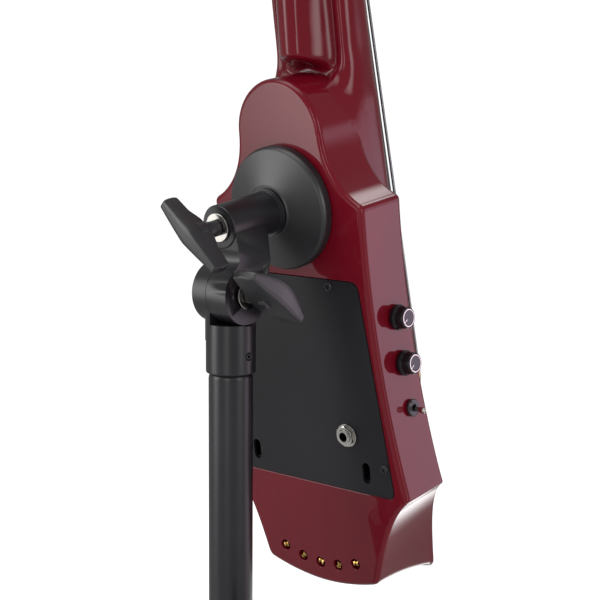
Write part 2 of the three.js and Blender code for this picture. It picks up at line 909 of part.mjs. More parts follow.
function tunerButton(index) {
  const [x, z] = postPlace(index);
  const edge = postInset + buttonReach;
  const shaft = toSolid(barX(shaftRadius, shaftStart, edge + shaftStart, smallSides));
  const paddle = roundedPolygon([
    [edge, -buttonNeckHalf], [edge + buttonLength, -buttonHalfHeight],
    [edge + buttonLength, buttonHalfHeight], [edge, buttonNeckHalf],
  ], buttonRound);
  const wing = toSolid(slab(paddle, -buttonThickness / 2, buttonThickness / 2, cornerSteps));
  const spot = place(x, headThickness + seatGap + machineShaftDepth, z + machineShaftOffset);
  return toGeometry(shaft.add(wing)).applyMatrix4(chain(headMatrix, spot, sideTurn(postSides[index])));
}

// Back cover, its screws, the jack and the circuit board
function coverPlate() {
  const tools = screwPlaces.map(([x, z]) => (
    toSolid(barY(screwShankRadius + seatGap, -coverThickness * 2, overrun, smallSides), place(x, 0, z))
  ));
  [-slotHalf, slotHalf].forEach((x) => {
    const reach = (slotLength - slotWidth) / 2;
    const slot = new THREE.Shape();
    slot.absarc(0, reach, slotWidth / 2, 0, Math.PI, false);
    slot.absarc(0, -reach, slotWidth / 2, Math.PI, Math.PI * 2, false);
    slot.closePath();
    tools.push(toSolid(slab(slot, -coverThickness * 2, overrun, crownSteps), place(x, 0, slotHeight)));
  });
  const jackHole = barY(jackRadius + seatGap, -coverThickness * 2, overrun);
  tools.push(toSolid(jackHole, place(-jackAcross, 0, jackHeight)));
  return toGeometry(cut(toSolid(slab(coverShape(0), -coverThickness, 0)), ...tools));
}

function coverScrew([x, z]) {
  const crown = seatGap + screwHeadRise;
  const profile = [
    [0, -screwLength], [screwShankRadius, -screwLength], [screwShankRadius, seatGap], [screwRadius, seatGap],
    [screwRadius - screwHeadRise / 2, crown], [0, crown],
  ];
  return turnedBack(profile, smallSides).applyMatrix4(place(x, 0, z));
}

function jackSocket() {
  const back = -coverThickness - seatGap;
  const floor = back - jackBodyDepth;
  const profile = [
    [0, floor + boardThick], [0, floor], [jackBodyRadius, floor], [jackBodyRadius, back],
    [jackRadius, back], [jackRadius, jackRise], [jackBore, jackRise], [jackBore, floor + boardThick],
    [0, floor + boardThick],
  ];
  return turnedBack(profile).applyMatrix4(place(-jackAcross, 0, jackHeight));
}

function jackNut() {
  const top = seatGap + jackWasherThickness;
  const hexagon = toSolid(barY(jackNutFlats / Math.sqrt(3), top - seatGap, top + jackNutThickness, 6));
  const washer = toSolid(barY(jackWasherRadius, seatGap, top));
  const hole = toSolid(barY(jackRadius + seatGap, -overrun, jackRise + overrun));
  return toGeometry(cut(join(hexagon, washer), hole)).applyMatrix4(place(-jackAcross, 0, jackHeight));
}

function circuitBoard() {
  const panel = toSolid(block(boardLong, boardThick, boardWide));
  const ends = [-1, 1];
  const posts = ends.flatMap((side) => ends.map((end) => toSolid(
    barY(boardPostRadius, boardDepth + seatGap - cavityDepth, 0, smallSides),
    place(side * (boardLong / 2 - boardPostInset), 0, end * (boardWide / 2 - boardPostInset)),
  )));
  return toGeometry(join(panel, ...posts)).applyMatrix4(place(0, -boardDepth, boardHeight));
}

// Controls on the side
function pot(height) {
  const inner = -controlWallAt(height) - seatGap;
  return turned([
    [0, inner - potLength], [potRadius, inner - potLength], [potRadius, inner], [potBushRadius, inner],
    [potBushRadius, 0], [potShaftRadius, 0], [potShaftRadius, potShaftLength], [0, potShaftLength],
  ]).applyMatrix4(controlMatrix(height));
}

function knob(height) {
  const bore = potShaftRadius + seatGap;
  const roof = potShaftLength + seatGap;
  const skirt = knobLift + knobSkirtThickness;
  const seat = knobHeight - capThickness;
  return turned([
    [0, roof], [bore, roof], [bore, knobLift], [knobSkirtRadius, knobLift], [knobSkirtRadius, skirt],
    [knobRadius, skirt + knobLift], [knobRadius, knobHeight], [capRadius + seatGap, knobHeight],
    [capRadius + seatGap, seat], [0, seat],
  ]).applyMatrix4(controlMatrix(height));
}

function knobCap(height) {
  const seat = knobHeight - capThickness + seatGap;
  return bar(capRadius, seat, seat + capThickness).applyMatrix4(controlMatrix(height));
}

function toggleSwitch() {
  const inner = -controlWallAt(switchHeight) - seatGap;
  const top = knobLift + switchNutThickness;
  return turned([
    [0, inner - switchBodyDepth], [switchBodyRadius, inner - switchBodyDepth], [switchBodyRadius, inner],
    [switchBushRadius, inner], [switchBushRadius, knobLift], [switchNutRadius, knobLift],
    [switchNutRadius, top], [switchMouthRadius, top], [switchMouthRadius, -switchMouthDepth],
    [0, -switchMouthDepth],
  ]).applyMatrix4(controlMatrix(switchHeight));
}

function toggleLever() {
  const profile = [
    [0, -leverRadius], [leverRadius, -leverRadius], [leverRadius, leverLength / 2],
    [leverTipRadius, leverLength - leverTipRadius],
    [leverRadius, leverLength], [0, leverLength],
  ];
  const flipped = chain(controlMatrix(switchHeight), turn(alongY, -leverThrow));
  return turned(profile, smallSides).applyMatrix4(flipped);
}

// Mount on the back: cone, hub with its arm, bolt and washer
function mountDisc() {
  const hole = boltRadius + seatGap;
  return turnedBack([
    [hole, seatGap], [discRadius, seatGap], [discRadius, discRim], [discLipRadius, discCrown],
    [sleeveCollarRadius, discHeight], [hole, discHeight], [hole, seatGap],
  ], fineSides);
}

function clampHub() {
  const start = discHeight + seatGap;
  const neck = start + sleeveCollarWidth;
  const sleeve = toSolid(turnedBack([
    [0, start], [sleeveCollarRadius, start], [sleeveCollarRadius, neck], [sleeveRadius, neck],
    [sleeveRadius, sleeveEnd], [0, sleeveEnd],
  ], fineSides));
  const arm = new THREE.Shape();
  arm.moveTo(armFront, -armTop);
  arm.lineTo(armBack, -armTop);
  arm.lineTo(armBack, -armWaist);
  arm.lineTo(hingeBack + knuckleRadius * Math.SQRT1_2, knuckleRadius * Math.SQRT1_2 - hingeDrop);
  arm.lineTo(hingeBack, -hingeDrop);
  arm.lineTo(hingeBack - knuckleRadius, -hingeDrop);
  arm.lineTo(armFront, -armWaist);
  arm.closePath();
  const hinge = place(0, hingeBack, -hingeDrop);
  const knuckle = toSolid(barX(knuckleRadius, -armLeft, armRight, fineSides), hinge);
  const boltHole = toSolid(barY(boltRadius + seatGap, 0, sleeveEnd + overrun));
  const hingeHole = toSolid(barX(hingeBoltRadius + seatGap, -armLeft - overrun, armRight + overrun), hinge);
  const armSolid = toSolid(sideSlab(arm, -armLeft, armRight));
  return toGeometry(cut(join(sleeve, armSolid, knuckle), boltHole, hingeHole));
}

function washer(hole) {
  return turned([
    [hole, 0], [washerRadius, 0], [washerRadius, washerThickness], [hole, washerThickness], [hole, 0],
  ]);
}

// A wing knob standing on +Z, with its wings along X and a blind bore for its stud
function wingKnob(bore, depth) {
  const inner = wingHubLength;
  const outer = wingHubLength + wingBodyLength;
  const tip = inner + wingSweep;
  const spindle = toSolid(bar(wingHubRadius, 0, inner + wingSweep));
  const profile = roundedPolygon([
    [-wingHalf, tip], [-wingRoot, inner], [wingRoot, inner], [wingHalf, tip],
    [wingHalf, tip + wingTip], [wingRoot, outer], [-wingRoot, outer], [-wingHalf, tip + wingTip],
  ], wingRound);
  const plan = new THREE.Shape();
  plan.moveTo(-wingHalf, -wingTipThickness / 2);
  plan.quadraticCurveTo(0, -wingThickness + wingTipThickness / 2, wingHalf, -wingTipThickness / 2);
  plan.lineTo(wingHalf, wingTipThickness / 2);
  plan.quadraticCurveTo(0, wingThickness - wingTipThickness / 2, -wingHalf, wingTipThickness / 2);
  plan.closePath();
  const options = { depth: outer + overrun, bevelEnabled: false, curveSegments: smallSides };
  const wings = toSolid(slab(profile, -wingThickness / 2, wingThickness / 2, cornerSteps))
    .intersect(toSolid(new THREE.ExtrudeGeometry(plan, options)));
  return toGeometry(cut(spindle.add(wings), toSolid(bar(bore, -overrun, depth))));
}

// Tilting socket on top of the pole, its bolt and screw
const lowerKnobStart = -armLeft - seatGap * 3 - washerThickness;

function tiltSocket() {
  const left = armRight + seatGap;
  const right = left + cheekThickness;
  const top = place(0, 0, hingeHeight);
  const column = toSolid(bar(socketRadius, socketBottom, hingeHeight, fineSides));
  const cheekSide = toSolid(
    block(socketRadius * 2, knuckleRadius * 2 + overrun, knuckleRadius * 2),
    place(left - socketRadius, 0, hingeHeight),
  );
  const clear = toSolid(barX(knuckleRadius + seatGap * 2, -socketRadius - overrun, left, fineSides), top);
  const cheek = toSolid(barX(knuckleRadius, left, right, fineSides), top);
  const neck = toSolid(
    block(cheekThickness, socketRadius, knuckleRadius + socketCut),
    place((left + right) / 2, 0, hingeHeight - (knuckleRadius + socketCut) / 2),
  );
  const spigotRadius = poleRadius - poleWall - seatGap;
  const spigot = toSolid(bar(spigotRadius, socketBottom - spigotLength, socketBottom + overrun));
  const bolt = toSolid(barX(hingeBoltRadius + seatGap, -overrun, right - cheekWall), top);
  const screw = toSolid(
    barX(
      setScrewRadius + seatGap,
      -socketRadius - overrun,
      setScrewLength - socketRadius + seatGap,
      smallSides,
    ),
    place(0, 0, socketBottom + setScrewRise),
  );
  return toGeometry(cut(join(cut(column, cheekSide, clear), cheek, neck, spigot), bolt, screw));
}

function setScrew() {
  return barX(setScrewRadius, -socketRadius, setScrewLength - socketRadius, smallSides)
    .applyMatrix4(place(0, 0, socketBottom + setScrewRise));
}

function hingeBolt() {
  const end = lowerKnobStart - boltReach + seatGap;
  const head = armRight + cheekThickness - cheekWall;
  return barX(hingeBoltRadius, end, head).applyMatrix4(place(0, 0, hingeHeight));
}

// Sliding pole, outer tube, collar and crown
function innerTube() {
  const top = socketBottom - seatGap;
  const bore = poleRadius - poleWall;
  return turned([
    [bore, poleBottom], [poleRadius, poleBottom], [poleRadius, top - poleTopRound],
    [poleRadius - poleTopRound / 3, top - poleTopRound / 3], [bore + seatGap, top], [bore, top - seatGap],
    [bore, poleBottom],
  ], fineSides);
}

function outerTube() {
  const bore = poleRadius + seatGap;
  return turned([
    [bore, outerBottom], [outerRadius, outerBottom], [outerRadius, outerTop], [bore, outerTop],
    [bore, outerBottom],
  ], fineSides);
}

function collar() {
  const wide = outerRadius + seatGap;
  const narrow = poleRadius + seatGap;
  const shoulder = outerTop + seatGap;
  const ring = toSolid(turned([
    [wide, collarBottom], [collarRadius, collarBottom], [collarRadius, collarTop], [narrow, collarTop],
    [narrow, shoulder], [wide, shoulder], [wide, collarBottom],
  ], fineSides));
  const hole = toSolid(barX(collarKnobRadius + seatGap, 0, collarRadius + overrun), collarKnobMatrix());
  return toGeometry(cut(ring, hole));
}

function collarKnobMatrix() {
  return chain(place(0, 0, collarKnobHeight), turn(alongZ, THREE.MathUtils.degToRad(collarKnobDegrees)));
}

function collarKnob() {
  const start = collarRadius + seatGap;
  const stud = toSolid(bar(collarKnobRadius, poleRadius + seatGap - start, overrun));
  return toGeometry(join(toSolid(wingKnob(wingHubRadius / 2, -1)), stud))
    .applyMatrix4(chain(collarKnobMatrix(), place(start, 0, 0), turn(alongY, quarter)));
}

function legMatrix(index) {
  return turn(alongZ, (index / legCount) * quarter * 4 + quarter);
}

function legCrown() {
  const bore = outerRadius + seatGap;
  const ring = toSolid(turned([
    [bore, crownBottom], [crownRadius - crownFoot / 4, crownBottom], [crownRadius, crownBottom + crownFoot],
    [crownRadius, crownTop], [bore, crownTop], [bore, crownBottom],
  ], fineSides));
  const lug = roundedPolygon([
    [outerRadius + lugThickness / 2, legPivotHeight - lugRound * 2],
    [legPivotRadius, legPivotHeight - lugRound],
    [legPivotRadius + lugRound, legPivotHeight], [legPivotRadius, legPivotHeight + lugRound],
    [outerRadius + lugThickness / 2, legPivotHeight + lugRound],
  ], lugThickness / 2);
  const half = legRadius + seatGap;
  const lugs = [];
  for (let index = 0; index < legCount; index += 1) {
    [half, -half - lugThickness].forEach((side) => {
      lugs.push(toSolid(slab(lug, side, side + lugThickness, cornerSteps), legMatrix(index)));
    });
  }
  const tube = toSolid(bar(bore, crownBottom - overrun * 4, crownTop + overrun, fineSides));
  const pins = Array.from({ length: legCount }, (_, index) => toSolid(
    barY(legPinRadius + seatGap, -half - lugThickness - overrun, half + lugThickness + overrun, smallSides),
    chain(legMatrix(index), place(legPivotRadius, 0, legPivotHeight)),
  ));
  return toGeometry(cut(join(ring, ...lugs), tube, ...pins));
}

// A leg lies from its pivot to the foot; its frame has +Z along it
const legAngle = Math.atan2(legSpread - legPivotRadius, legPivotHeight - legEndHeight);
const legLength = Math.hypot(legSpread - legPivotRadius, legPivotHeight - legEndHeight);

function legFrame(index) {
  return chain(legMatrix(index), place(legPivotRadius, 0, legPivotHeight), turn(alongY, Math.PI - legAngle));
}

function leg(index) {
  const tube = toSolid(bar(legRadius, -legRadius, legLength));
  const reach = legRadius + seatGap + lugThickness;
  const pin = toSolid(barY(legPinRadius, -reach, reach, smallSides));
  const bore = toSolid(bar(legRadius - legWall, legRadius * 2, legLength + overrun, smallSides));
  return toGeometry(cut(join(tube, pin), bore)).applyMatrix4(legFrame(index));
}

function foot(index) {
  const pad = toSolid(bar(footRadius, 0, footHeight), chain(legMatrix(index), place(legSpread, 0, 0)));
  const cup = toSolid(
    bar(legRadius + footCup / 4, legLength - footCup, legLength + legRadius / 2),
    legFrame(index),
  );
  const socket = toSolid(
    bar(legRadius + seatGap, legLength - footCup * 2, legLength + seatGap),
    legFrame(index),
  );
  const under = toSolid(
    block(footRadius * 4, footRadius * 4, footHeight),
    chain(legMatrix(index), place(legSpread, 0, -footHeight / 2)),
  );
  return toGeometry(cut(join(pad, cup), socket, under));
}

// Assembly
const cello = new THREE.Group();
const leaning = new THREE.Group();
const instrument = new THREE.Group();
leaning.position.set(0, 0, hingeHeight);
leaning.rotation.x = -lean;
instrument.position.set(0, -hingeBack, hingeDrop);
leaning.add(instrument);
cello.add(leaning);

function add(group, name, geometry, look) {
  const mesh = new THREE.Mesh(geometry, finish(look));
  mesh.name = name;
  group.add(mesh);
  return mesh;
}

function addInstrument() {
  add(instrument, 'body', bodyPiece(), finishes.lacquer);
  add(instrument, 'fingerboard', fingerboard(), finishes.ebony);
  add(instrument, 'nut', nut(), finishes.ebony);
  add(instrument, 'bridge', bridge(), finishes.maple);
  add(instrument, 'bridge_pickup', pickup(), finishes.blackPlastic);
  add(instrument, 'tuner_plate_bass', machinePlate(-1), finishes.blackSatin);
  add(instrument, 'tuner_plate_treble', machinePlate(1), finishes.blackSatin);
  for (let index = 0; index < stringCount; index += 1) {
    add(instrument, `string_${index + 1}`, stringPiece(index), finishes.steel);
    add(instrument, `tuner_post_${index + 1}`, tunerPost(index), finishes.blackSatin);
    add(instrument, `tuner_button_${index + 1}`, tunerButton(index), finishes.blackSatin);
  }
  add(instrument, 'cover_plate', coverPlate(), finishes.plate);
  screwPlaces.forEach((spot, index) => {
    add(instrument, `cover_screw_${index + 1}`, coverScrew(spot), finishes.blackSatin);
  });
  add(instrument, 'jack_socket', jackSocket(), finishes.nickel);
  add(instrument, 'jack_nut', jackNut(), finishes.nickel);
  add(instrument, 'circuit_board', circuitBoard(), finishes.circuit);
}

function addControls() {
  [['volume', volumeHeight], ['tone', toneHeight]].forEach(([name, height]) => {
    add(instrument, `${name}_pot`, pot(height), finishes.steel);
    add(instrument, `${name}_knob`, knob(height), finishes.blackPlastic);
    add(instrument, `${name}_knob_cap`, knobCap(height), finishes.silverCap);
  });
  add(instrument, 'toggle_switch', toggleSwitch(), finishes.blackPlastic);
  add(instrument, 'toggle_lever', toggleLever(), finishes.nickel);
}

function addMount() {
  const bore = boltRadius + seatGap;
  const knobStart = sleeveEnd + seatGap * 2 + washerThickness;
  const facingBack = turn(alongX, -quarter);
  const upperTurn = turn(alongY, THREE.MathUtils.degToRad(upperWingDegrees));
  add(instrument, 'mount_bolt', barY(boltRadius, -boltInBody, knobStart + boltReach), finishes.steel);
  add(instrument, 'mount_disc', mountDisc(), finishes.blackPlastic);
  add(instrument, 'clamp_hub', clampHub(), finishes.blackSatin);
  const washerSeat = chain(place(0, sleeveEnd + seatGap, 0), facingBack);
  add(instrument, 'mount_washer', washer(bore).applyMatrix4(washerSeat), finishes.nickel);
  add(instrument, 'wing_knob_upper', wingKnob(bore, boltReach + seatGap)
    .applyMatrix4(chain(place(0, knobStart + seatGap, 0), upperTurn, facingBack)), finishes.blackPlastic);
}

function addHinge() {
  const bore = hingeBoltRadius + seatGap;
  const hinge = place(0, hingeBack, -hingeDrop);
  const facingSide = turn(alongY, -quarter);
  const lowerTurn = turn(alongX, THREE.MathUtils.degToRad(lowerWingDegrees));
  const start = -armLeft - seatGap;
  add(cello, 'tilt_socket', tiltSocket(), finishes.blackSatin);
  add(cello, 'socket_set_screw', setScrew(), finishes.steel);
  add(cello, 'hinge_bolt', hingeBolt(), finishes.steel);
  add(instrument, 'hinge_washer', washer(bore).applyMatrix4(chain(hinge, place(start, 0, 0), facingSide)),
    finishes.nickel);
  add(instrument, 'wing_knob_lower', wingKnob(bore, boltReach)
    .applyMatrix4(chain(hinge, place(lowerKnobStart, 0, 0), lowerTurn, facingSide)), finishes.blackPlastic);
}

function addStand() {
  add(cello, 'inner_tube', innerTube(), finishes.blackSatin);
  add(cello, 'outer_tube', outerTube(), finishes.blackSatin);
  add(cello, 'height_collar', collar(), finishes.blackPlastic);
  add(cello, 'collar_knob', collarKnob(), finishes.blackPlastic);
  add(cello, 'leg_crown', legCrown(), finishes.blackPlastic);
  for (let index = 0; index < legCount; index += 1) {
    add(cello, `leg_${index + 1}`, leg(index), finishes.blackSatin);
    add(cello, `foot_${index + 1}`, foot(index), finishes.rubber);
  }
}

addInstrument();
addControls();
addMount();
addHinge();
addStand();

// The origin is under the middle of the whole, on the floor
const whole = new THREE.Group();
whole.add(cello);
whole.updateMatrixWorld(true);
const box = new THREE.Box3().setFromObject(whole, true);
const middle = box.getCenter(new THREE.Vector3());
cello.position.set(-middle.x, -middle.y, -box.min.z);
whole.updateMatrixWorld(true);

export default whole;
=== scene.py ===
"""Looks of an electric cello on its tripod stand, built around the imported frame."""
import math

import bmesh
import bpy
import numpy as np
from mathutils import Matrix, Vector


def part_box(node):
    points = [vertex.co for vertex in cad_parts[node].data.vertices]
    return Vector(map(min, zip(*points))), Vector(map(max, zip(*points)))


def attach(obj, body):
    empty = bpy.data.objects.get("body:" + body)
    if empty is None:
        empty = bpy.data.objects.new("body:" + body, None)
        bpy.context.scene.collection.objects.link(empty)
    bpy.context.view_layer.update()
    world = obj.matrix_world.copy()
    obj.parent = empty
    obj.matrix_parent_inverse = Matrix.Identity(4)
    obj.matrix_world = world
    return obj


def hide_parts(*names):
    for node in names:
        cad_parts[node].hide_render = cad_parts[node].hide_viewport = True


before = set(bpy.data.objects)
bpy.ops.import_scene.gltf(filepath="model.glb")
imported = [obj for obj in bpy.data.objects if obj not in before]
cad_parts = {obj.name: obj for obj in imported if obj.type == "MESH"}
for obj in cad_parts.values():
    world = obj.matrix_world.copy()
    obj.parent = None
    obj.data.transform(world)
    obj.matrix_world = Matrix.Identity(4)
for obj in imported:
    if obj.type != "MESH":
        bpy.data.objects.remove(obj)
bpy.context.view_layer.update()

bl_info = {
    "name": "Electric cello on a stand",
    "version": (1, 0, 0),
    "blender": (4, 5, 0),
    "location": "3D View > Sidebar > Cello",
    "description": "Builds the finished pieces of an electric cello and its folding stand",
    "category": "Add Mesh",
}

MM = 0.001
FULL_TURN = math.tau
QUARTER = math.pi / 2
TINY = 1e-5

# Attitude and place, taken from the frame
LEAN = math.radians(9.05)
HINGE_HEIGHT = 554.0
HINGE_BACK = 57.9
HINGE_DROP = 43.4
TUBE_LOW, TUBE_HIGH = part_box("inner_tube")
POLE_X = (TUBE_LOW.x + TUBE_HIGH.x) / 2 / MM
POLE_Y = (TUBE_LOW.y + TUBE_HIGH.y) / 2 / MM
STAND = Matrix.Translation((POLE_X, POLE_Y, 0))
HINGE = STAND @ Matrix.Translation((0, 0, HINGE_HEIGHT))
TILTED = HINGE @ Matrix.Rotation(-LEAN, 4, "X")
INSTRUMENT = TILTED @ Matrix.Translation((0, -HINGE_BACK, HINGE_DROP))

# Body outline, seen from the back, heights from the axis of the mount
POD_RADIUS = 36.0
POD_RISE = 47.6
BOUT_TOP_HALF = 64.6
BOUT_TOP = 2.5
BOUT_BOTTOM_HALF = 82.5
BOUT_BOTTOM = -194.0
TAIL_HALF = 51.0
TAIL_CORNER = -256.0
TAIL_END = -269.8
TAIL_CORNER_ROUND = 6.0
BODY_THICKNESS = 42.0
TAIL_THICKNESS = 70.5
TAIL_FLARE = 12.0
BEAM_HALF = 34.0
BEAM_SHOULDER = 38.0
SPINE_DEPTH = 15.0
SPINE_END_DEPTH = 19.0
SPINE_TOP = 133.0
NECK_START = 230.0
NECK_START_THICKNESS = 26.0
NECK_END_THICKNESS = 19.5
BOARD_SEAT = 74.1
BOARD_SLOPE = 0.061
BOARD_EDGE = 5.0
BOARD_SIDE = 3.6
BOARD_RADIUS = 66.0
BOARD_END = -22.0
BOARD_END_HALF = 28.9
NUT_HALF = 17.5
NUT_THICKNESS = 5.0
NUT_RISE = 1.2
NUT_HEIGHT = 558.0
BRIDGE_HEIGHT = -140.0
SEAT_GAP = 0.3

# Headstock
HEAD_LENGTH = 176.0
HEAD_HALF = 28.0
HEAD_TIP_HALF = 19.0
HEAD_THICKNESS = 15.0
HEAD_TILT = math.radians(8)
HEAD_OVERLAP = 12.0

# Strings
STRING_RADII = (1.0, 0.85, 0.7, 0.55, 0.45)
STRING_SEAT_SHARE = 0.35
STRING_END_DEPTH = 5.3
BALL_DEPTH = 3.2
BALL_TURNS = (0.15, 1.2, -0.35, 0.8, 0.3)
BRIDGE_SPREAD = 29.1
NUT_SPREAD = 15.7
BRIDGE_TOP_DEPTH = 92.0
BRIDGE_CROWN = 6.0
BRIDGE_THICKNESS = 6.0
STRING_OVER_HEAD = 9.0
HOLE_PITCH = 16.0
HOLE_ARC = 90.0
HOLE_ROW = -255.4
POST_RADIUS = 3.2
POST_RISE = 14.0
POST_INSET = 11.0
POST_ROWS = (40, 78, 116, 97, 59)
POST_SIDES = (-1, -1, -1, 1, 1)

# Cover and jack
COVER_TOP = -47.0
COVER_BOTTOM = -193.9
COVER_TOP_HALF = 55.5
COVER_BOTTOM_HALF = 72.0
COVER_ROUND = 7.0
COVER_THICKNESS = 2.2
CAVITY_LEDGE = 9.0
CAVITY_DEPTH = 35.0
SLOT_HALF = 49.5
SLOT_HEIGHT = -178.9
SLOT_WIDTH = 6.5
SLOT_LENGTH = 14.8
SCREW_PLACES = ((-31.5, -51.5), (31.5, -51.5), (-65.2, -173.2), (65.2, -173.2))
JACK_ACROSS = -36.0
JACK_HEIGHT = -153.9
JACK_HOLE_RADIUS = 5.0
JACK_NUT_ACROSS = 12.7

# Controls on the side
CONTROL_DEPTH = 24.9
VOLUME_HEIGHT = -75.3
TONE_HEIGHT = -106.3
SWITCH_HEIGHT = -137.0
KNOB_SKIRT_RADIUS = 8.4
KNOB_RIB_RADIUS = 7.42
POINTER_TURN = math.radians(30)
LEVER_TURN = math.radians(10)


# Small tools for lengths and curves

def mix(low, high, share):
    return low + (high - low) * share


def held(value, low=0.0, high=1.0):
    return min(max(value, low), high)


def ease(share):
    share = held(share)
    return share * share * (3 - 2 * share)


def seat_at(height):
    return BOARD_SLOPE * height - BOARD_SEAT


def board_half_at(height):
    return mix(BOARD_END_HALF, NUT_HALF, (height - BOARD_END) / (NUT_HEIGHT - BOARD_END))


def crown_at(across, half, crown):
    return crown * (1 - (across / half) ** 2)


def board_crown(half):
    return BOARD_RADIUS - math.sqrt(BOARD_RADIUS ** 2 - half ** 2)


def nut_crest(across):
    crown = crown_at(across, NUT_HALF, board_crown(NUT_HALF))
    return BOARD_EDGE + NUT_RISE + crown - seat_at(NUT_HEIGHT)


def bridge_crest(across):
    return BRIDGE_TOP_DEPTH + crown_at(across, BRIDGE_SPREAD, BRIDGE_CROWN)


def cubic(start, first, second, end, steps):
    """Points of a cubic curve after its start."""
    points = []
    for step in range(1, steps + 1):
        t = step / steps
        s = 1 - t
        points.append(tuple(
            s ** 3 * a + 3 * s * s * t * b + 3 * s * t * t * c + t ** 3 * d
            for a, b, c, d in zip(start, first, second, end)
        ))
    return points


def bent(start, end, shares, steps):
    handles = [(mix(start[0], end[0], across), mix(start[1], end[1], along)) for across, along in shares]
    return cubic(start, handles[0], handles[1], end, steps)


def smooth_path(points, steps):
    """A soft curve through points: steps more between each two."""
    ends = [points[0], *points, points[-1]]
    path = []
    for index in range(1, len(ends) - 2):
        before, here, there, after = (np.array(ends[index + k], float) for k in (-1, 0, 1, 2))
        for step in range(steps):
            t = step / steps
            path.append(tuple(0.5 * (
                2 * here + (there - before) * t
                + (2 * before - 5 * here + 4 * there - after) * t * t
                + (3 * here - before - 3 * there + after) * t ** 3
            )))
    path.append(tuple(float(v) for v in points[-1]))
    return path


def rounded_corners(corners, radius, steps=6):
    """A closed outline with each corner turned by a short curve."""
    count = len(corners)
    points = []
    for index in range(count):
        corner = Vector(corners[index])
        before = Vector(corners[index - 1])
        after = Vector(corners[(index + 1) % count])
        enter = corner + (before - corner).normalized() * radius
        leave = corner + (after - corner).normalized() * radius
        for step in range(steps + 1):
            t = step / steps
            point = enter * (1 - t) ** 2 + corner * 2 * t * (1 - t) + leave * t * t
            points.append((point.x, point.y))
    return points


# Small tools for modelling: every piece is shaped in millimetres and seated in metres at the end

def choose_only(piece):
    bpy.ops.object.select_all(action="DESELECT")
    piece.select_set(True)
    bpy.context.view_layer.objects.active = piece


def edit(piece):
    choose_only(piece)
    bpy.ops.object.mode_set(mode="EDIT")
    bpy.ops.mesh.select_mode(type="VERT")
    bpy.ops.mesh.select_all(action="DESELECT")


def done():
    bpy.ops.object.mode_set(mode="OBJECT")


def named(name):
    piece = bpy.context.view_layer.objects.active
    piece.name = name
    piece.data.name = name
    return piece


def seed_point(name, point):
    """A piece that starts as one point, to be drawn out with extrude."""
    bpy.ops.object.select_all(action="DESELECT")
    bpy.ops.mesh.primitive_plane_add(size=1, location=(0, 0, 0))
    piece = named(name)
    edit(piece)
    bpy.ops.mesh.select_all(action="SELECT")
    bpy.ops.mesh.merge(type="CENTER")
    bpy.ops.transform.translate(value=point)
    return piece


def draw_line(points):
    for here, there in zip(points, points[1:]):
        step = tuple(b - a for a, b in zip(here, there))
        bpy.ops.mesh.extrude_region_move(TRANSFORM_OT_translate={"value": step})


def turned(name, profile, steps=64):
    """Spins a profile of radius and height pairs once round Z."""
    points = [(radius, 0.0, height) for radius, height in profile]
    piece = seed_point(name, points[0])
    draw_line(points)
    bpy.ops.mesh.select_all(action="SELECT")
    bpy.ops.mesh.spin(steps=steps, angle=FULL_TURN, center=(0, 0, 0), axis=(0, 0, 1))
    weld()
    done()
    return piece


def weld():
    bpy.ops.mesh.select_all(action="SELECT")
    bpy.ops.mesh.remove_doubles(threshold=TINY * 10)
    bpy.ops.mesh.select_all(action="SELECT")
    bpy.ops.mesh.normals_make_consistent(inside=False)


def plated(name, outline, low, high):
    """An outline in X and Y, filled and extruded from one height to another."""
    points = [(x, y, low) for x, y in outline]
    piece = seed_point(name, points[0])
    draw_line(points)
    bpy.ops.mesh.select_all(action="SELECT")
    bpy.ops.mesh.edge_face_add()
    bpy.ops.mesh.extrude_region_move(TRANSFORM_OT_translate={"value": (0, 0, high - low)})
    weld()
    done()
    return piece


def lofted(name, rings, flat_start=False, flat_end=False):
    """A closed skin over rings of equal count, its ends closed flat or across from side to side."""
    count = len(rings[0])
    points = [tuple(point) for ring in rings for point in ring]
    faces = []
    for ring in range(len(rings) - 1):
        for step in range(count):
            a, b = ring * count + step, ring * count + (step + 1) % count
            faces.append((a, b, b + count, a + count))
    for first, flat in ((0, flat_start), ((len(rings) - 1) * count, flat_end)):
        if flat:
            faces.append(tuple(range(first, first + count)))
            continue
        for step in range(count // 2):
            a, b, c, d = step, step + 1, count - step - 1, (count - step) % count
            corners = list(dict.fromkeys(first + k for k in (a, b, c, d)))
            if len(corners) > 2:
                faces.append(tuple(corners))
    mesh = bpy.data.meshes.new(name)
    mesh.from_pydata(points, [], faces)
    piece = bpy.data.objects.new(name, mesh)
    bpy.context.collection.objects.link(piece)
    edit(piece)
    weld()
    done()
    return piece


def rod(name, radius, low, high, sides=48, rounding=0.0):
    """A round bar on Z whose ends have a small rounding."""
    bpy.ops.object.select_all(action="DESELECT")
    bpy.ops.mesh.primitive_cylinder_add(
        vertices=sides, radius=radius, depth=high - low, location=(0, 0, (low + high) / 2))
    piece = named(name)
    choose_only(piece)
    bpy.ops.object.transform_apply(location=True, rotation=True, scale=True)
    if rounding:
        bevelled(piece, rounding)
    return piece


def brick(name, low, high, rounding=0.0, segments=3):
    """A block between two corners, with its edges rounded."""
    bpy.ops.object.select_all(action="DESELECT")
    bpy.ops.mesh.primitive_cube_add(size=1, location=[(a + b) / 2 for a, b in zip(low, high)])
    piece = named(name)
    choose_only(piece)
    bpy.ops.transform.resize(value=[b - a for a, b in zip(low, high)])
    bpy.ops.object.transform_apply(location=True, rotation=True, scale=True)
    if rounding:
        bevelled(piece, rounding, segments)
    return piece


def finish_modifier(piece, kind, **settings):
    choose_only(piece)
    modifier = piece.modifiers.new(kind.title(), kind)
    for key, value in settings.items():
        setattr(modifier, key, value)
    bpy.ops.object.modifier_apply(modifier=modifier.name)
    return piece


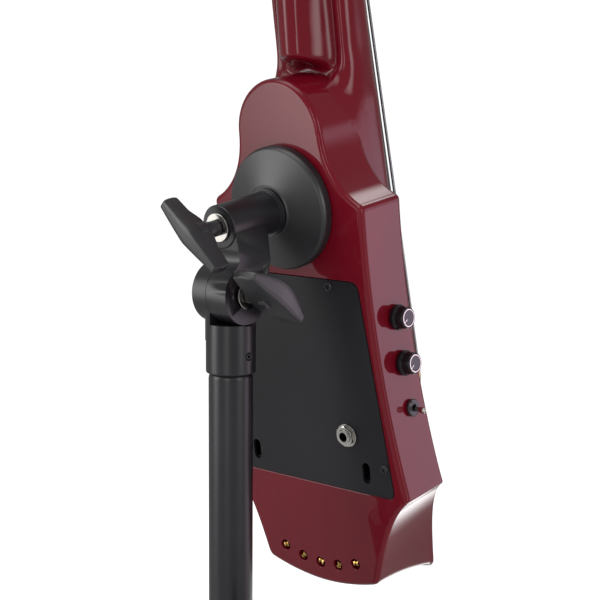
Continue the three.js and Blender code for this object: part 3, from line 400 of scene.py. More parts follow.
def bevelled(piece, width, segments=3, angle=30):
    return finish_modifier(
        piece, "BEVEL", width=width, segments=segments, limit_method="ANGLE",
        angle_limit=math.radians(angle), harden_normals=False, use_clamp_overlap=True)


def combined(piece, tool, how="DIFFERENCE"):
    finish_modifier(piece, "BOOLEAN", operation=how, solver="EXACT", object=tool)
    mesh = tool.data
    bpy.data.objects.remove(tool)
    bpy.data.meshes.remove(mesh)
    return piece


def moved(piece, matrix):
    """Applies a turn and a place to a piece that is still in millimetres."""
    choose_only(piece)
    piece.matrix_world = matrix @ piece.matrix_world
    bpy.ops.object.transform_apply(location=True, rotation=True, scale=True)
    return piece


def joined(name, pieces):
    bpy.ops.object.select_all(action="DESELECT")
    for piece in pieces:
        piece.select_set(True)
    bpy.context.view_layer.objects.active = pieces[0]
    bpy.ops.object.join()
    return named(name)


def smoothed(piece, degrees=35, weighted=True):
    choose_only(piece)
    bpy.ops.object.shade_smooth_by_angle(angle=math.radians(degrees))
    if weighted:
        finish_modifier(piece, "WEIGHTED_NORMAL", keep_sharp=True, weight=80)
    return piece


def dress(piece, matrix, body, finish, slot, *nodes):
    """Seats a piece in the frame, gives it its finish and hands it to its body."""
    moved(piece, Matrix.Scale(MM, 4) @ matrix)
    if finish is not None:
        piece.data.materials.clear()
        piece.data.materials.append(finish)
    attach(piece, body)
    if nodes:
        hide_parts(*nodes)
    return piece


# Finishes: each one is a shader with its own grain, wear and gloss

def blank_finish(name, colour, roughness, metallic=0.0):
    finish = bpy.data.materials.new(name)
    finish.use_nodes = True
    shader = finish.node_tree.nodes["Principled BSDF"]
    shader.inputs["Base Color"].default_value = (*colour, 1)
    shader.inputs["Roughness"].default_value = roughness
    shader.inputs["Metallic"].default_value = metallic
    return finish, shader


def node(finish, kind, **values):
    made = finish.node_tree.nodes.new(kind)
    for key, value in values.items():
        if key in made.inputs:
            made.inputs[key].default_value = value
        else:
            setattr(made, key.lower(), value)
    return made


def wire(finish, source, target):
    finish.node_tree.links.new(source, target)


def placed_texture(finish, kind, stretch=(1, 1, 1), turn=(0, 0, 0), **values):
    """A texture on the piece's own coordinates, stretched or turned."""
    coordinates = node(finish, "ShaderNodeTexCoord")
    mapping = node(finish, "ShaderNodeMapping")
    mapping.inputs["Scale"].default_value = stretch
    mapping.inputs["Rotation"].default_value = turn
    texture = node(finish, kind, **values)
    wire(finish, coordinates.outputs["Object"], mapping.inputs["Vector"])
    wire(finish, mapping.outputs["Vector"], texture.inputs["Vector"])
    return texture


def output_of(texture):
    return texture.outputs["Fac"] if "Fac" in texture.outputs else texture.outputs["Distance"]


def ramp(finish, source, stops):
    made = node(finish, "ShaderNodeValToRGB")
    elements = made.color_ramp.elements
    while len(elements) < len(stops):
        elements.new(0.5)
    for element, (place, colour) in zip(elements, stops):
        element.position = place
        element.color = (*colour, 1) if len(colour) == 3 else (colour[0], colour[0], colour[0], 1)
    wire(finish, source, made.inputs["Fac"])
    return made


def tint(finish, shader, texture, dark, light, low=0.35, high=0.65):
    made = ramp(finish, output_of(texture), [(low, dark), (high, light)])
    wire(finish, made.outputs["Color"], shader.inputs["Base Color"])


def gloss(finish, shader, texture, low, high, socket="Roughness"):
    made = node(finish, "ShaderNodeMapRange")
    made.inputs["To Min"].default_value = low
    made.inputs["To Max"].default_value = high
    wire(finish, output_of(texture), made.inputs["Value"])
    wire(finish, made.outputs["Result"], shader.inputs[socket])


def relief(finish, shader, texture, strength, distance, socket="Normal"):
    made = node(finish, "ShaderNodeBump")
    made.inputs["Strength"].default_value = strength
    made.inputs["Distance"].default_value = distance
    wire(finish, output_of(texture), made.inputs["Height"])
    wire(finish, made.outputs["Normal"], shader.inputs[socket])
    return made


def noise(finish, scale, detail=3.0, stretch=(1, 1, 1), turn=(0, 0, 0)):
    texture = placed_texture(finish, "ShaderNodeTexNoise", stretch, turn)
    texture.inputs["Scale"].default_value = scale
    texture.inputs["Detail"].default_value = detail
    return texture


def lacquer_finish(colours):
    """Thick gloss lacquer over deep red stain: colour sinks slightly, the coat has a faint roll."""
    finish, shader = blank_finish("deep_red_lacquer", colours.lacquer, 0.5)
    stain = noise(finish, 9, 4, (1, 1, 0.35))
    deep = tuple(c * 0.8 for c in colours.lacquer)
    rich = tuple(c * 1.18 for c in colours.lacquer)
    tint(finish, shader, stain, deep, rich)
    shader.inputs["Coat Weight"].default_value = 1.0
    shader.inputs["Coat Roughness"].default_value = 0.015
    shader.inputs["Coat IOR"].default_value = 1.36
    shader.inputs["Specular IOR Level"].default_value = 0.05
    roll = noise(finish, 26, 1)
    relief(finish, shader, roll, 0.05, 0.0004, "Coat Normal")
    return finish


def ebony_finish(colours):
    """Close black wood: fine streaks along the board, oiled, not varnished."""
    finish, shader = blank_finish("oiled_ebony", colours.ebony, 0.42)
    streak = noise(finish, 220, 6, (1, 1, 0.04))
    dark = tuple(c * 0.55 for c in colours.ebony)
    brown = (colours.ebony[0] * 2.6, colours.ebony[1] * 2.0, colours.ebony[2] * 1.5)
    tint(finish, shader, streak, dark, brown, 0.4, 0.75)
    gloss(finish, shader, streak, 0.34, 0.52)
    relief(finish, shader, streak, 0.25, 0.0002)
    return finish


def maple_finish(colours):
    """Pale bridge wood with flecks and a soft figure."""
    finish, shader = blank_finish("bridge_maple", colours.maple, 0.5)
    fleck = noise(finish, 90, 6, (1, 0.25, 6))
    dark = tuple(c * 0.62 for c in colours.maple)
    light = tuple(min(c * 1.25, 1) for c in colours.maple)
    tint(finish, shader, fleck, dark, light, 0.3, 0.7)
    gloss(finish, shader, fleck, 0.42, 0.6)
    relief(finish, shader, fleck, 0.2, 0.0002)
    return finish


def black_metal_finish(colours):
    """Satin black coat on metal: a fine even tooth and faint rubbed patches."""
    finish, shader = blank_finish("satin_black_metal", colours.black_metal, 0.34)
    patch = noise(finish, 14, 4)
    tint(finish, shader, patch, tuple(c * 0.75 for c in colours.black_metal),
         tuple(c * 1.3 for c in colours.black_metal))
    gloss(finish, shader, patch, 0.29, 0.4)
    tooth = noise(finish, 1500, 2)
    relief(finish, shader, tooth, 0.12, 0.0001)
    shader.inputs["Specular IOR Level"].default_value = 0.55
    return finish


def black_plastic_finish(colours):
    """Moulded black plastic: a fine spark-eroded grain that softens the sheen."""
    finish, shader = blank_finish("moulded_black_plastic", colours.black_plastic, 0.42)
    cloud = noise(finish, 30, 3)
    tint(finish, shader, cloud, tuple(c * 0.85 for c in colours.black_plastic),
         tuple(c * 1.2 for c in colours.black_plastic))
    gloss(finish, shader, cloud, 0.38, 0.48)
    grain = noise(finish, 2200, 2)
    relief(finish, shader, grain, 0.2, 0.0001)
    shader.inputs["Specular IOR Level"].default_value = 0.85
    return finish


def knob_finish(colours):
    """Polished black of the small knobs: deep and glossy, a little dusty in patches."""
    finish, shader = blank_finish("polished_black_knob", colours.black_plastic, 0.2)
    dust = noise(finish, 240, 4)
    tint(finish, shader, dust, tuple(c * 0.5 for c in colours.black_plastic), colours.black_plastic)
    gloss(finish, shader, dust, 0.16, 0.28)
    shader.inputs["Specular IOR Level"].default_value = 0.35
    return finish


def cover_finish(colours):
    """Flat black cover sheet: a soft grey bloom, handling marks and a very fine tooth."""
    finish, shader = blank_finish("cover_sheet", colours.cover, 0.46)
    shader.inputs["Specular IOR Level"].default_value = 0.3
    bloom = noise(finish, 16, 6, (1, 1, 0.6))
    tint(finish, shader, bloom, tuple(c * 0.8 for c in colours.cover),
         tuple(c * 1.3 for c in colours.cover), 0.3, 0.72)
    gloss(finish, shader, bloom, 0.4, 0.56)
    tooth = noise(finish, 1800, 2)
    relief(finish, shader, tooth, 0.14, 0.0001)
    return finish


def nickel_finish(colours):
    """Bright warm plating with a faint handling haze."""
    finish, shader = blank_finish("bright_nickel", colours.nickel, 0.14, 1.0)
    haze = noise(finish, 160, 4)
    tint(finish, shader, haze, tuple(c * 0.88 for c in colours.nickel), colours.nickel)
    gloss(finish, shader, haze, 0.1, 0.24)
    return finish


def silver_finish(colours):
    """Spun silver-grey knob cap."""
    finish, shader = blank_finish("spun_silver", colours.silver, 0.3, 1.0)
    spun = noise(finish, 900, 2)
    tint(finish, shader, spun, tuple(c * 0.85 for c in colours.silver), colours.silver)
    gloss(finish, shader, spun, 0.24, 0.4)
    return finish


def steel_finish(colours):
    """Turned steel: fine tool lines and a little tarnish."""
    finish, shader = blank_finish("turned_steel", colours.steel, 0.26, 1.0)
    line = noise(finish, 420, 5, (1, 1, 3))
    tint(finish, shader, line, tuple(c * 0.7 for c in colours.steel), colours.steel)
    gloss(finish, shader, line, 0.18, 0.38)
    return finish


def winding_finish(colours):
    """Flat-wound string: close bands round the wire."""
    finish, shader = blank_finish("string_winding", colours.steel, 0.28, 1.0)
    band = placed_texture(finish, "ShaderNodeTexWave", (1, 1, 1))
    band.bands_direction = "Z"
    band.inputs["Scale"].default_value = 700
    band.inputs["Distortion"].default_value = 0.3
    tint(finish, shader, band, tuple(c * 0.6 for c in colours.steel), colours.steel, 0.2, 0.8)
    relief(finish, shader, band, 0.35, 0.0002)
    return finish


def brass_finish(colours):
    """Small brass ball ends with an uneven haze."""
    finish, shader = blank_finish("ball_end_brass", colours.brass, 0.2, 1.0)
    haze = noise(finish, 300, 4)
    tint(finish, shader, haze, tuple(c * 0.7 for c in colours.brass), colours.brass)
    gloss(finish, shader, haze, 0.14, 0.32)
    return finish


def rubber_finish(colours):
    """Grey-black rubber with a dusty, uneven skin."""
    finish, shader = blank_finish("foot_rubber", colours.rubber, 0.78)
    dust = noise(finish, 60, 6)
    tint(finish, shader, dust, tuple(c * 0.7 for c in colours.rubber),
         tuple(c * 2.0 for c in colours.rubber))
    gloss(finish, shader, dust, 0.68, 0.88)
    relief(finish, shader, dust, 0.3, 0.0003)
    return finish


def circuit_finish(colours):
    """Green board with a lighter maze of tracks."""
    finish, shader = blank_finish("circuit_board_green", colours.circuit, 0.4)
    track = placed_texture(finish, "ShaderNodeTexVoronoi", (1, 1, 1))
    track.inputs["Scale"].default_value = 260
    tint(finish, shader, track, colours.circuit, tuple(c * 2.2 for c in colours.circuit), 0.2, 0.6)
    relief(finish, shader, track, 0.2, 0.0002)
    return finish


FINISH_MAKERS = {
    "lacquer": lacquer_finish,
    "ebony": ebony_finish,
    "maple": maple_finish,
    "black_metal": black_metal_finish,
    "black_plastic": black_plastic_finish,
    "knob": knob_finish,
    "cover": cover_finish,
    "nickel": nickel_finish,
    "silver": silver_finish,
    "steel": steel_finish,
    "winding": winding_finish,
    "brass": brass_finish,
    "rubber": rubber_finish,
    "circuit": circuit_finish,
}
MADE_FINISHES = {}


def finish_of(key):
    if key not in MADE_FINISHES:
        MADE_FINISHES[key] = FINISH_MAKERS[key](bpy.context.scene.cello_colours)
    return MADE_FINISHES[key]


# Body: the flat back part is a skin over its outline, the neck block is a skin over its sections

FLARE_SHARES = ((0.02, 0.43), (0.33, 0.81))
SIDE_SHARES = ((-0.12, 0.36), (0.25, 0.69))
TAIL_SHARES = ((0.52, 0.18), (0.77, 0.58))
CORNER_SHARES = ((0.15, 0.55), (0.45, 0.86))
END_SHARES = ((0.33, 0.64), (0.69, 1))
TAIL_CORNER_SHARE = 0.49
TAIL_RISE = 0.85
SPINE_SECTION = (
    (0, 1), (0.2, 0.965), (0.36, 0.87), (0.475, 0.73), (0.55, 0.6), (0.63, 0.53),
    (0.73, 0.55), (0.83, 0.56), (0.925, 0.5), (0.99, 0.36), (0.965, 0.15), (0.86, 0),
)
CORE_SECTION = (
    (0, 1), (0.2, 1), (0.4, 0.99), (0.56, 0.97), (0.66, 0.95), (0.76, 0.91),
    (0.87, 0.83), (0.95, 0.7), (0.99, 0.56), (1, 0.42), (0.97, 0.2), (0.86, 0),
)
NECK_SECTION = (
    (0, 1), (0.3, 0.97), (0.57, 0.86), (0.78, 0.68), (0.87, 0.56), (0.92, 0.46),
    (0.95, 0.38), (0.97, 0.3), (0.985, 0.22), (1, 0.14), (1, 0.07), (1, 0),
)
SIDE_START = (BOUT_TOP_HALF, BOUT_TOP - 3.5)
ARCH_RADIUS = 43.0
ARCH_ROUND = 10.0
BEAM_SWELL = 3.2
SWELL_TOP = 100.0
SWELL_REACH = 38.0
ARCH_HALF = 20.0
SHOULDER_START = 58.0
SHOULDER_REACH = 22.0
BLOCK_BOTTOM = -48.0
BLOCK_SEAT = -8.0
CORE_TOP = 125.0
CORE_MIDDLE_SHARE = 0.45
FILLET = 18.0
FILLET_MIDDLE = 2.0
FILLET_LOW = -64.0
FILLET_BLEND = 16.0
FILLET_TOP = -5.0
SOFT_START = 62.0
SOFT_STOP = 114.0
SOFT_REACH = 3.0


def softened(points, corner, reach, steps=5):
    """Turns the outline's corner with a short curve between two points at a reach from it."""
    corner = Vector(corner)
    index = min(range(len(points)), key=lambda k: (Vector(points[k]) - corner).length)
    low = index
    while (Vector(points[low]) - corner).length < reach:
        low -= 1
    high = index
    while (Vector(points[high]) - corner).length < reach:
        high += 1
    enter = corner + (Vector(points[low]) - corner).normalized() * reach
    leave = corner + (Vector(points[high]) - corner).normalized() * reach
    turn = [tuple(enter * (1 - t) ** 2 + corner * 2 * t * (1 - t) + leave * t * t)
            for t in (step / steps for step in range(steps + 1))]
    return [*points[:low + 1], *turn, *points[high:]]


def half_outline():
    points = []
    for step in range(29):
        angle = QUARTER * (1 - step / 28)
        points.append((POD_RADIUS * math.cos(angle), POD_RISE + POD_RADIUS * math.sin(angle)))
    top_corner = (BOUT_TOP_HALF, BOUT_TOP)
    side_end = (BOUT_BOTTOM_HALF, BOUT_BOTTOM)
    tail_side = (TAIL_HALF, TAIL_CORNER)
    corner_end = (TAIL_HALF - TAIL_CORNER_ROUND, mix(TAIL_CORNER, TAIL_END, TAIL_CORNER_SHARE))
    points += bent(points[-1], top_corner, FLARE_SHARES, 26)
    points += [SIDE_START, *bent(SIDE_START, side_end, SIDE_SHARES, 26)]
    points += bent(side_end, tail_side, TAIL_SHARES, 22)
    points += bent(tail_side, corner_end, CORNER_SHARES, 8)
    points += bent(corner_end, (0, TAIL_END), END_SHARES, 18)
    points = softened(points, top_corner, 3.0)
    return softened(points, side_end, 2.0)


def thickness_at(height):
    share = held((BOUT_BOTTOM - height) / (BOUT_BOTTOM - TAIL_END))
    return mix(BODY_THICKNESS, TAIL_THICKNESS, share ** TAIL_RISE)


def mirrored(half):
    return [*half, *[(-x, y, z) for x, y, z in reversed(half[1:-1])]]


def edge_room(outline, edge):
    """Share of the edge round that each point has room for: less where the outline turns sharply."""
    points = [Vector(point) for point in outline]
    rooms = [edge] * len(points)
    for index in range(1, len(points) - 1):
        before, here, after = points[index - 1:index + 2]
        turn = (here - before).cross(after - here)
        if turn < 0:
            reach = (here - before).length * (after - here).length * (after - before).length
            rooms[index] = min(edge, 0.4 * reach / -turn)
    return [min(room + 0.5 * (point - here).length for room, point in zip(rooms, points)) / edge
            for here in points]


def body_ring(outline, rooms, share, back, inset):
    last = len(outline) - 1
    ring = []
    for step, (x, z) in enumerate(outline):
        before, after = outline[max(step - 1, 0)], outline[min(step + 1, last)]
        normal = Vector((before[1] - after[1], after[0] - before[0])).normalized()
        if step in (0, last):
            normal = Vector((0, 1 if step == 0 else -1))
        flare = ease((BOUT_BOTTOM - z) / (BOUT_BOTTOM - TAIL_CORNER)) * TAIL_FLARE * share ** 2
        reach = inset * held(rooms[step])
        across = 0 if step in (0, last) else x - normal.x * reach
        ring.append((across, back - thickness_at(z) * share, z - normal.y * reach - flare))
    return mirrored(ring)


def back_layer(edge):
    outline = half_outline()
    rooms = edge_room(outline, edge)
    turns = [QUARTER * k / 6 for k in range(7)]
    insets = [(edge * (1 - math.cos(a)), edge * (1 - math.sin(a))) for a in turns]
    rings = [body_ring(outline, rooms, 0, -deep, inset) for deep, inset in insets]
    rings += [body_ring(outline, rooms, mix(0.1, 0.9, k / 13), 0, 0) for k in range(14)]
    rings += [body_ring(outline, rooms, 1, deep, inset) for deep, inset in reversed(insets)]
    return lofted("body", rings, True)


def section_curve(shares, half, front, back):
    """Half of a section as points from the middle of its back to the middle of its front."""
    curve = smooth_path([(-shares[1][0], shares[1][1]), *shares], 6)[6:]
    curve += [(mix(shares[-1][0], 0, k / 8), 0) for k in range(1, 9)]
    return np.array([(half * across, mix(front, back, deep)) for across, deep in curve])


def mixed_section(first, second, share):
    return [(mix(a[0], b[0], share), mix(a[1], b[1], share)) for a, b in zip(first, second)]


def along(height, knots, reach=9.0):
    """A value that follows knots of height and value, its bends rounded over a reach."""
    heights, values = zip(*knots)
    spread = np.linspace(-reach, reach, 9)
    weight = np.cos(spread / reach * QUARTER)
    return float(np.sum(np.interp(height + spread, heights, values) * weight) / np.sum(weight))


SPINE_BACKS = (
    (60, -SPINE_DEPTH), (SPINE_TOP, -SPINE_END_DEPTH),
    (NECK_START, seat_at(NECK_START) + NECK_START_THICKNESS),
    (NUT_HEIGHT, seat_at(NUT_HEIGHT) + NECK_END_THICKNESS),
)


def neck_ring(height):
    """One section of the neck block: the spine, its arched end, and the shoulder under it."""
    to_neck = ease((height - SPINE_TOP) / (NECK_START - SPINE_TOP))
    swell = BEAM_SWELL * ease((SWELL_TOP - height) / SWELL_REACH)
    half = mix(BEAM_HALF, board_half_at(max(height, NECK_START)), to_neck)
    front = seat_at(height)
    if height < BLOCK_SEAT:
        share = (height - BLOCK_BOTTOM) / (BLOCK_SEAT - BLOCK_BOTTOM)
        front = mix(1 - BODY_THICKNESS, seat_at(BLOCK_SEAT), share)
    back = along(height, SPINE_BACKS)
    spine = section_curve(mixed_section(SPINE_SECTION, NECK_SECTION, to_neck), half, front, back)
    if height > CORE_TOP:
        return spine
    core = section_curve(CORE_SECTION, half, front, -BEAM_SHOULDER)
    for curve in (spine, core):
        deep = np.clip((curve[:, 1] - front) / 12, 0, 1)
        curve[:, 0] += swell * np.clip((curve[:, 0] - 18) / 14, 0, 1) * deep
    middle = mix(front, -BEAM_SHOULDER, CORE_MIDDLE_SHARE)
    turn_of = lambda curve: np.arctan2(curve[:, 0], curve[:, 1] - middle)
    reach_of = lambda curve: np.hypot(curve[:, 0], curve[:, 1] - middle)
    low = np.interp(turn_of(spine), turn_of(core), reach_of(core))
    high = reach_of(spine)
    ring = []
    for step, (x, n) in enumerate(spine):
        outside = math.hypot(x, height - POD_RISE) - ARCH_RADIUS
        arch = mix(low[step], high[step], ease(outside / ARCH_ROUND + 0.5))
        shoulder = mix(low[step], high[step], ease((height - SHOULDER_START) / SHOULDER_REACH))
        reach = mix(arch, shoulder, ease((x - ARCH_HALF + 3) / 6))
        reach = max(reach, low[step] - 4)
        turn = math.atan2(x, n - middle)
        px, pn = reach * math.sin(turn), middle + reach * math.cos(turn)
        beside = math.hypot(px, max(height - POD_RISE, 0)) - POD_RADIUS
        fillet = mix(FILLET_MIDDLE, FILLET, ease((abs(px) - ARCH_HALF + 4) / 8))
        if beside < fillet:
            lift = fillet - math.sqrt(fillet ** 2 - min(fillet - beside, fillet) ** 2)
            pn = min(pn + lift * ease((pn - FILLET_LOW) / FILLET_BLEND), max(pn, FILLET_TOP))
        ring.append((px, pn))
    return np.array(ring)


def soft_ring(height):
    """A section of the neck block, evened out with its neighbours where the spine ends."""
    plain = neck_ring(height)
    share = ease((height - SOFT_START) / 14) * ease((SOFT_STOP - height) / 10)
    if share == 0:
        return plain
    shifts = np.linspace(-SOFT_REACH, SOFT_REACH, 9)
    rings = [neck_ring(height + shift) for shift in shifts]
    ring = np.average(rings, axis=0, weights=np.cos(shifts / (SOFT_REACH * 1.25) * QUARTER))
    for _ in range(3):
        ring[1:-8] = ring[1:-8] / 2 + (ring[:-9] + ring[2:-7]) / 4
    return mix(plain, ring, share)


def neck_block():
    heights = [*np.arange(BLOCK_BOTTOM, 36, 6.0), *np.arange(36, 78, 1.0), *np.arange(78, 98, 0.5),
               *np.arange(98, 110, 1.5), *np.arange(110, 240, 4.0),
               *np.arange(240, NUT_HEIGHT, 12.0), NUT_HEIGHT + NUT_THICKNESS]
    rings = []
    for height in heights:
        half = [(float(x), float(n), float(height)) for x, n in soft_ring(float(height))]
        half[0] = (0.0, half[0][1], half[0][2])
        half[-1] = (0.0, half[-1][1], half[-1][2])
        rings.append(mirrored(half))
    return lofted("neck_block", rings, True, True)


HEAD_DROP = HEAD_OVERLAP * math.sin(HEAD_TILT) + SEAT_GAP
HEAD = (Matrix.Translation((0, seat_at(NUT_HEIGHT) + HEAD_DROP, NUT_HEIGHT + NUT_THICKNESS))
        @ Matrix.Rotation(-HEAD_TILT, 4, "X"))
FACING_BACK = Matrix.Rotation(-QUARTER, 4, "X")
FACING_FRONT = Matrix.Rotation(QUARTER, 4, "X")
ALONG_X = Matrix.Rotation(QUARTER, 4, "Y")


def upright(piece, back):
    """Stands a plate drawn in X and Y up on the instrument: its height becomes depth, backwards."""
    return moved(piece, Matrix.Translation((0, back, 0)) @ Matrix.Rotation(QUARTER, 4, "X"))


def headstock():
    corners = [
        (-NUT_HALF, -HEAD_OVERLAP), (NUT_HALF, -HEAD_OVERLAP), (HEAD_HALF, HEAD_LENGTH * 0.2),
        (HEAD_HALF, HEAD_LENGTH * 0.8), (HEAD_TIP_HALF, HEAD_LENGTH), (-HEAD_TIP_HALF, HEAD_LENGTH),
        (-HEAD_HALF, HEAD_LENGTH * 0.8), (-HEAD_HALF, HEAD_LENGTH * 0.2),
    ]
    slab = plated("headstock", rounded_corners(corners, 9, 8), 0, HEAD_THICKNESS)
    bevelled(slab, 1.6, 4, 50)
    upright(slab, HEAD_THICKNESS)
    return moved(slab, HEAD)


def cover_outline(inset, steps=8):
    top, bottom = COVER_TOP - inset, COVER_BOTTOM + inset
    corners = [(inset - COVER_BOTTOM_HALF, bottom), (COVER_BOTTOM_HALF - inset, bottom),
               (COVER_TOP_HALF - inset, top), (inset - COVER_TOP_HALF, top)]
    return rounded_corners(corners, COVER_ROUND, steps)


def recess_tool(depth, lip):
    """Cutter for the cover's seat, its mouth flared so that the lacquer turns over the edge."""
    rings = [[(x, -depth, z) for x, z in cover_outline(-SEAT_GAP)]]
    for angle in (QUARTER * k / 4 for k in range(5)):
        inset = -SEAT_GAP - lip * (1 - math.cos(angle))
        rings.append([(x, -lip * (1 - math.sin(angle)), z) for x, z in cover_outline(inset)])
    rings[-1] = [(x, 0.3, z) for x, z in cover_outline(-SEAT_GAP - lip * 1.5)]
    return lofted("recess_tool", rings, True, True)


def hole_tool(radius, low, lip, sides=32):
    """Cutter for a round hole whose mouth at height zero turns over softly."""
    profile = [(0, low), (radius, low)]
    for step in range(4):
        angle = QUARTER * step / 4
        profile.append((radius + lip * (1 - math.cos(angle)), -lip * (1 - math.sin(angle))))
    profile += [(radius + lip * 1.5, 0.3), (0, 0.3)]
    return turned("hole_tool", profile, sides)


def hole_place(index):
    across = (index - 2) * HOLE_PITCH
    return across, HOLE_ROW + HOLE_ARC - math.sqrt(HOLE_ARC ** 2 - across ** 2)


def post_place(index):
    return POST_SIDES[index] * (HEAD_HALF - POST_INSET), POST_ROWS[index]


def body_half_at(height):
    side = [SIDE_START, *bent(SIDE_START, (BOUT_BOTTOM_HALF, BOUT_BOTTOM), SIDE_SHARES, 7)]
    heights, halves = [p[1] for p in reversed(side)], [p[0] for p in reversed(side)]
    return float(np.interp(height, heights, halves))


def control_matrix(height):
    """Frame of a control: its height stands square on the side of the body."""
    fall = body_half_at(height - KNOB_SKIRT_RADIUS) - body_half_at(height + KNOB_SKIRT_RADIUS)
    tilt = math.atan2(fall, KNOB_SKIRT_RADIUS * 2)
    return (Matrix.Translation((-body_half_at(height), -CONTROL_DEPTH, height))
            @ Matrix.Rotation(tilt - QUARTER, 4, "Y"))


def body_cutters(sizes):
    tools = [recess_tool(COVER_THICKNESS + SEAT_GAP, sizes.cover_lip / MM)]
    cavity = plated("cavity_tool", cover_outline(CAVITY_LEDGE, 4), -2, CAVITY_DEPTH)
    tools.append(upright(cavity, 0))
    tools.append(moved(rod("bolt_tool", 4.3, -24.3, 5), FACING_BACK))
    pocket = brick("pickup_tool", (-30.3, -BODY_THICKNESS - 2, BRIDGE_HEIGHT - 4.8),
                   (30.3, 3.3 - BODY_THICKNESS, BRIDGE_HEIGHT + 4.8))
    tools.append(pocket)
    for height, radius in ((VOLUME_HEIGHT, 3.7), (TONE_HEIGHT, 3.7), (SWITCH_HEIGHT, 3.3)):
        tools.append(moved(rod("control_tool", radius, -22, 5), control_matrix(height)))
    for index in range(len(STRING_RADII)):
        x, z = hole_place(index)
        mouth = hole_tool(sizes.string_hole / MM, -8, 0.7)
        tools.append(moved(mouth, Matrix.Translation((x, 0, z)) @ FACING_BACK))
        through = rod("string_tool", 1.9, -TAIL_THICKNESS - 5, 1, 20)
        tools.append(moved(through, Matrix.Translation((x, 0, z)) @ FACING_BACK))
        across, row = post_place(index)
        post = rod("post_tool", POST_RADIUS + SEAT_GAP, -5, HEAD_THICKNESS + 5, 32)
        tools.append(moved(post, HEAD @ Matrix.Translation((across, 0, row)) @ FACING_BACK))
    return tools


def painted_shade_under_cover(point):
    """True inside the recess and the cavity, which are given black plastic as painted shade for the dark
    seen through the cover's slots.
    """
    height = held((COVER_TOP - point.z) / (COVER_TOP - COVER_BOTTOM), -0.1, 1.1)
    half = mix(COVER_TOP_HALF, COVER_BOTTOM_HALF, height) + 0.5
    inside = abs(point.x) < half and COVER_BOTTOM - 0.5 < point.z < COVER_TOP + 0.5
    return inside and -CAVITY_DEPTH - 1 < point.y < -1.6


def build_body(sizes):
    body = back_layer(sizes.edge_round / MM)
    for part in (neck_block(), headstock()):
        combined(body, part, "UNION")
    for tool in body_cutters(sizes):
        combined(body, tool)
    smoothed(body, 28)
    body.data.materials.clear()
    body.data.materials.append(finish_of("lacquer"))
    # The second finish, black plastic, is painted shade inside the recess and the cavity.
    body.data.materials.append(finish_of("black_plastic"))
    for face in body.data.polygons:
        face.material_index = int(painted_shade_under_cover(face.center))
    return dress(body, INSTRUMENT, "instrument", None, "lacquer", "body")


# Fingerboard, nut, bridge and its pickup

def crowned_ring(height, half, seat, crest, steps=12):
    ring = [(0, seat, height), (half * 0.55, seat, height), (half, seat, height)]
    for step in range(steps + 1):
        across = half * (1 - step / steps)
        ring.append((across, -crest(across), height))
    return mirrored(ring)


def build_fingerboard():
    rings = []
    top = NUT_HEIGHT - SEAT_GAP
    for step in range(25):
        height = mix(BOARD_END, top, step / 24)
        half = board_half_at(height)
        edge = BOARD_SIDE - seat_at(height)
        crest = lambda across: edge + crown_at(across, half, board_crown(half))
        rings.append(crowned_ring(height, half, seat_at(height) - SEAT_GAP, crest))
    board = lofted("fingerboard", rings)
    bevelled(board, 0.9, 3, 40)
    smoothed(board, 40)
    return dress(board, INSTRUMENT, "instrument", finish_of("ebony"), "ebony", "fingerboard")


def string_across(index, spread):
    return mix(-spread, spread, index / (len(STRING_RADII) - 1))


def groove_tool(index, spread, crest, low, high):
    """A short round bar that presses a string's groove into a crest."""
    across = string_across(index, spread)
    radius = STRING_RADII[index]
    bar = rod("groove_tool", radius + 0.05, low, high, 20)
    return moved(bar, Matrix.Translation((across, -crest(across) - radius * STRING_SEAT_SHARE, 0)))


def build_nut():
    rings = []
    for share in (0, 0.12, 0.3, 0.5, 0.7, 0.88, 1):
        height = NUT_HEIGHT + NUT_THICKNESS * share
        fall = 0.9 * (2 * share - 1) ** 4
        crest = lambda across: nut_crest(across) - fall
        rings.append(crowned_ring(height, NUT_HALF, seat_at(NUT_HEIGHT) - SEAT_GAP, crest, 20))
    nut = lofted("nut", rings)
    for index in range(len(STRING_RADII)):
        combined(nut, groove_tool(index, NUT_SPREAD, nut_crest, NUT_HEIGHT - 2, NUT_HEIGHT + 8))
    bevelled(nut, 0.25, 2, 50)
    smoothed(nut, 40)
    return dress(nut, INSTRUMENT, "instrument", finish_of("ebony"), "ebony", "nut")


BRIDGE_FOOT_HALF = 33.0
BRIDGE_TOP_HALF = 30.8
BRIDGE_WAIST_HALF = 24.0
BRIDGE_LEG_HALF = 15.0
BRIDGE_ARCH = 20.0
BRIDGE_ANKLE = 10.0


def bridge_outline():
    """Half of it is drawn from the arch between the feet up to the crown, then it is mirrored."""
    foot = BODY_THICKNESS + SEAT_GAP
    ankle = foot + BRIDGE_ANKLE
    waist = mix(ankle, BRIDGE_TOP_DEPTH, 0.5)
    half = []
    for step in range(13):
        t = 0.5 + 0.5 * step / 12
        s = 1 - t
        half.append(((t * t - s * s) * BRIDGE_LEG_HALF, foot + 4 * s * t * BRIDGE_ARCH))
    half += [(BRIDGE_FOOT_HALF, foot), (BRIDGE_FOOT_HALF, foot + 3.5), (BRIDGE_FOOT_HALF - 0.6, ankle)]
    shoulder = bridge_crest(BRIDGE_TOP_HALF)
    half += cubic(half[-1], (BRIDGE_WAIST_HALF, waist), (BRIDGE_WAIST_HALF, waist),
                  (BRIDGE_TOP_HALF, shoulder), 20)
    half += [(x, bridge_crest(x)) for x in np.linspace(BRIDGE_TOP_HALF, 0, 24)[1:]]
    return [*half, *[(-x, n) for x, n in reversed(half[1:-1])]]


def opening(points):
    return plated("bridge_opening", points, -9, 9)


def heart_rim(angle):
    """Point of the heart's rim: drawn in below its middle, with a notch at its crown."""
    waist = 2.6 * abs(math.sin(angle)) ** 0.7 * (math.cos(angle) < 0)
    notch = 2.4 * max(1 - abs(angle if angle < math.pi else angle - FULL_TURN) / 0.55, 0)
    return 7.5 * math.sin(angle), 78.5 + 6.2 * math.cos(angle) - waist - notch


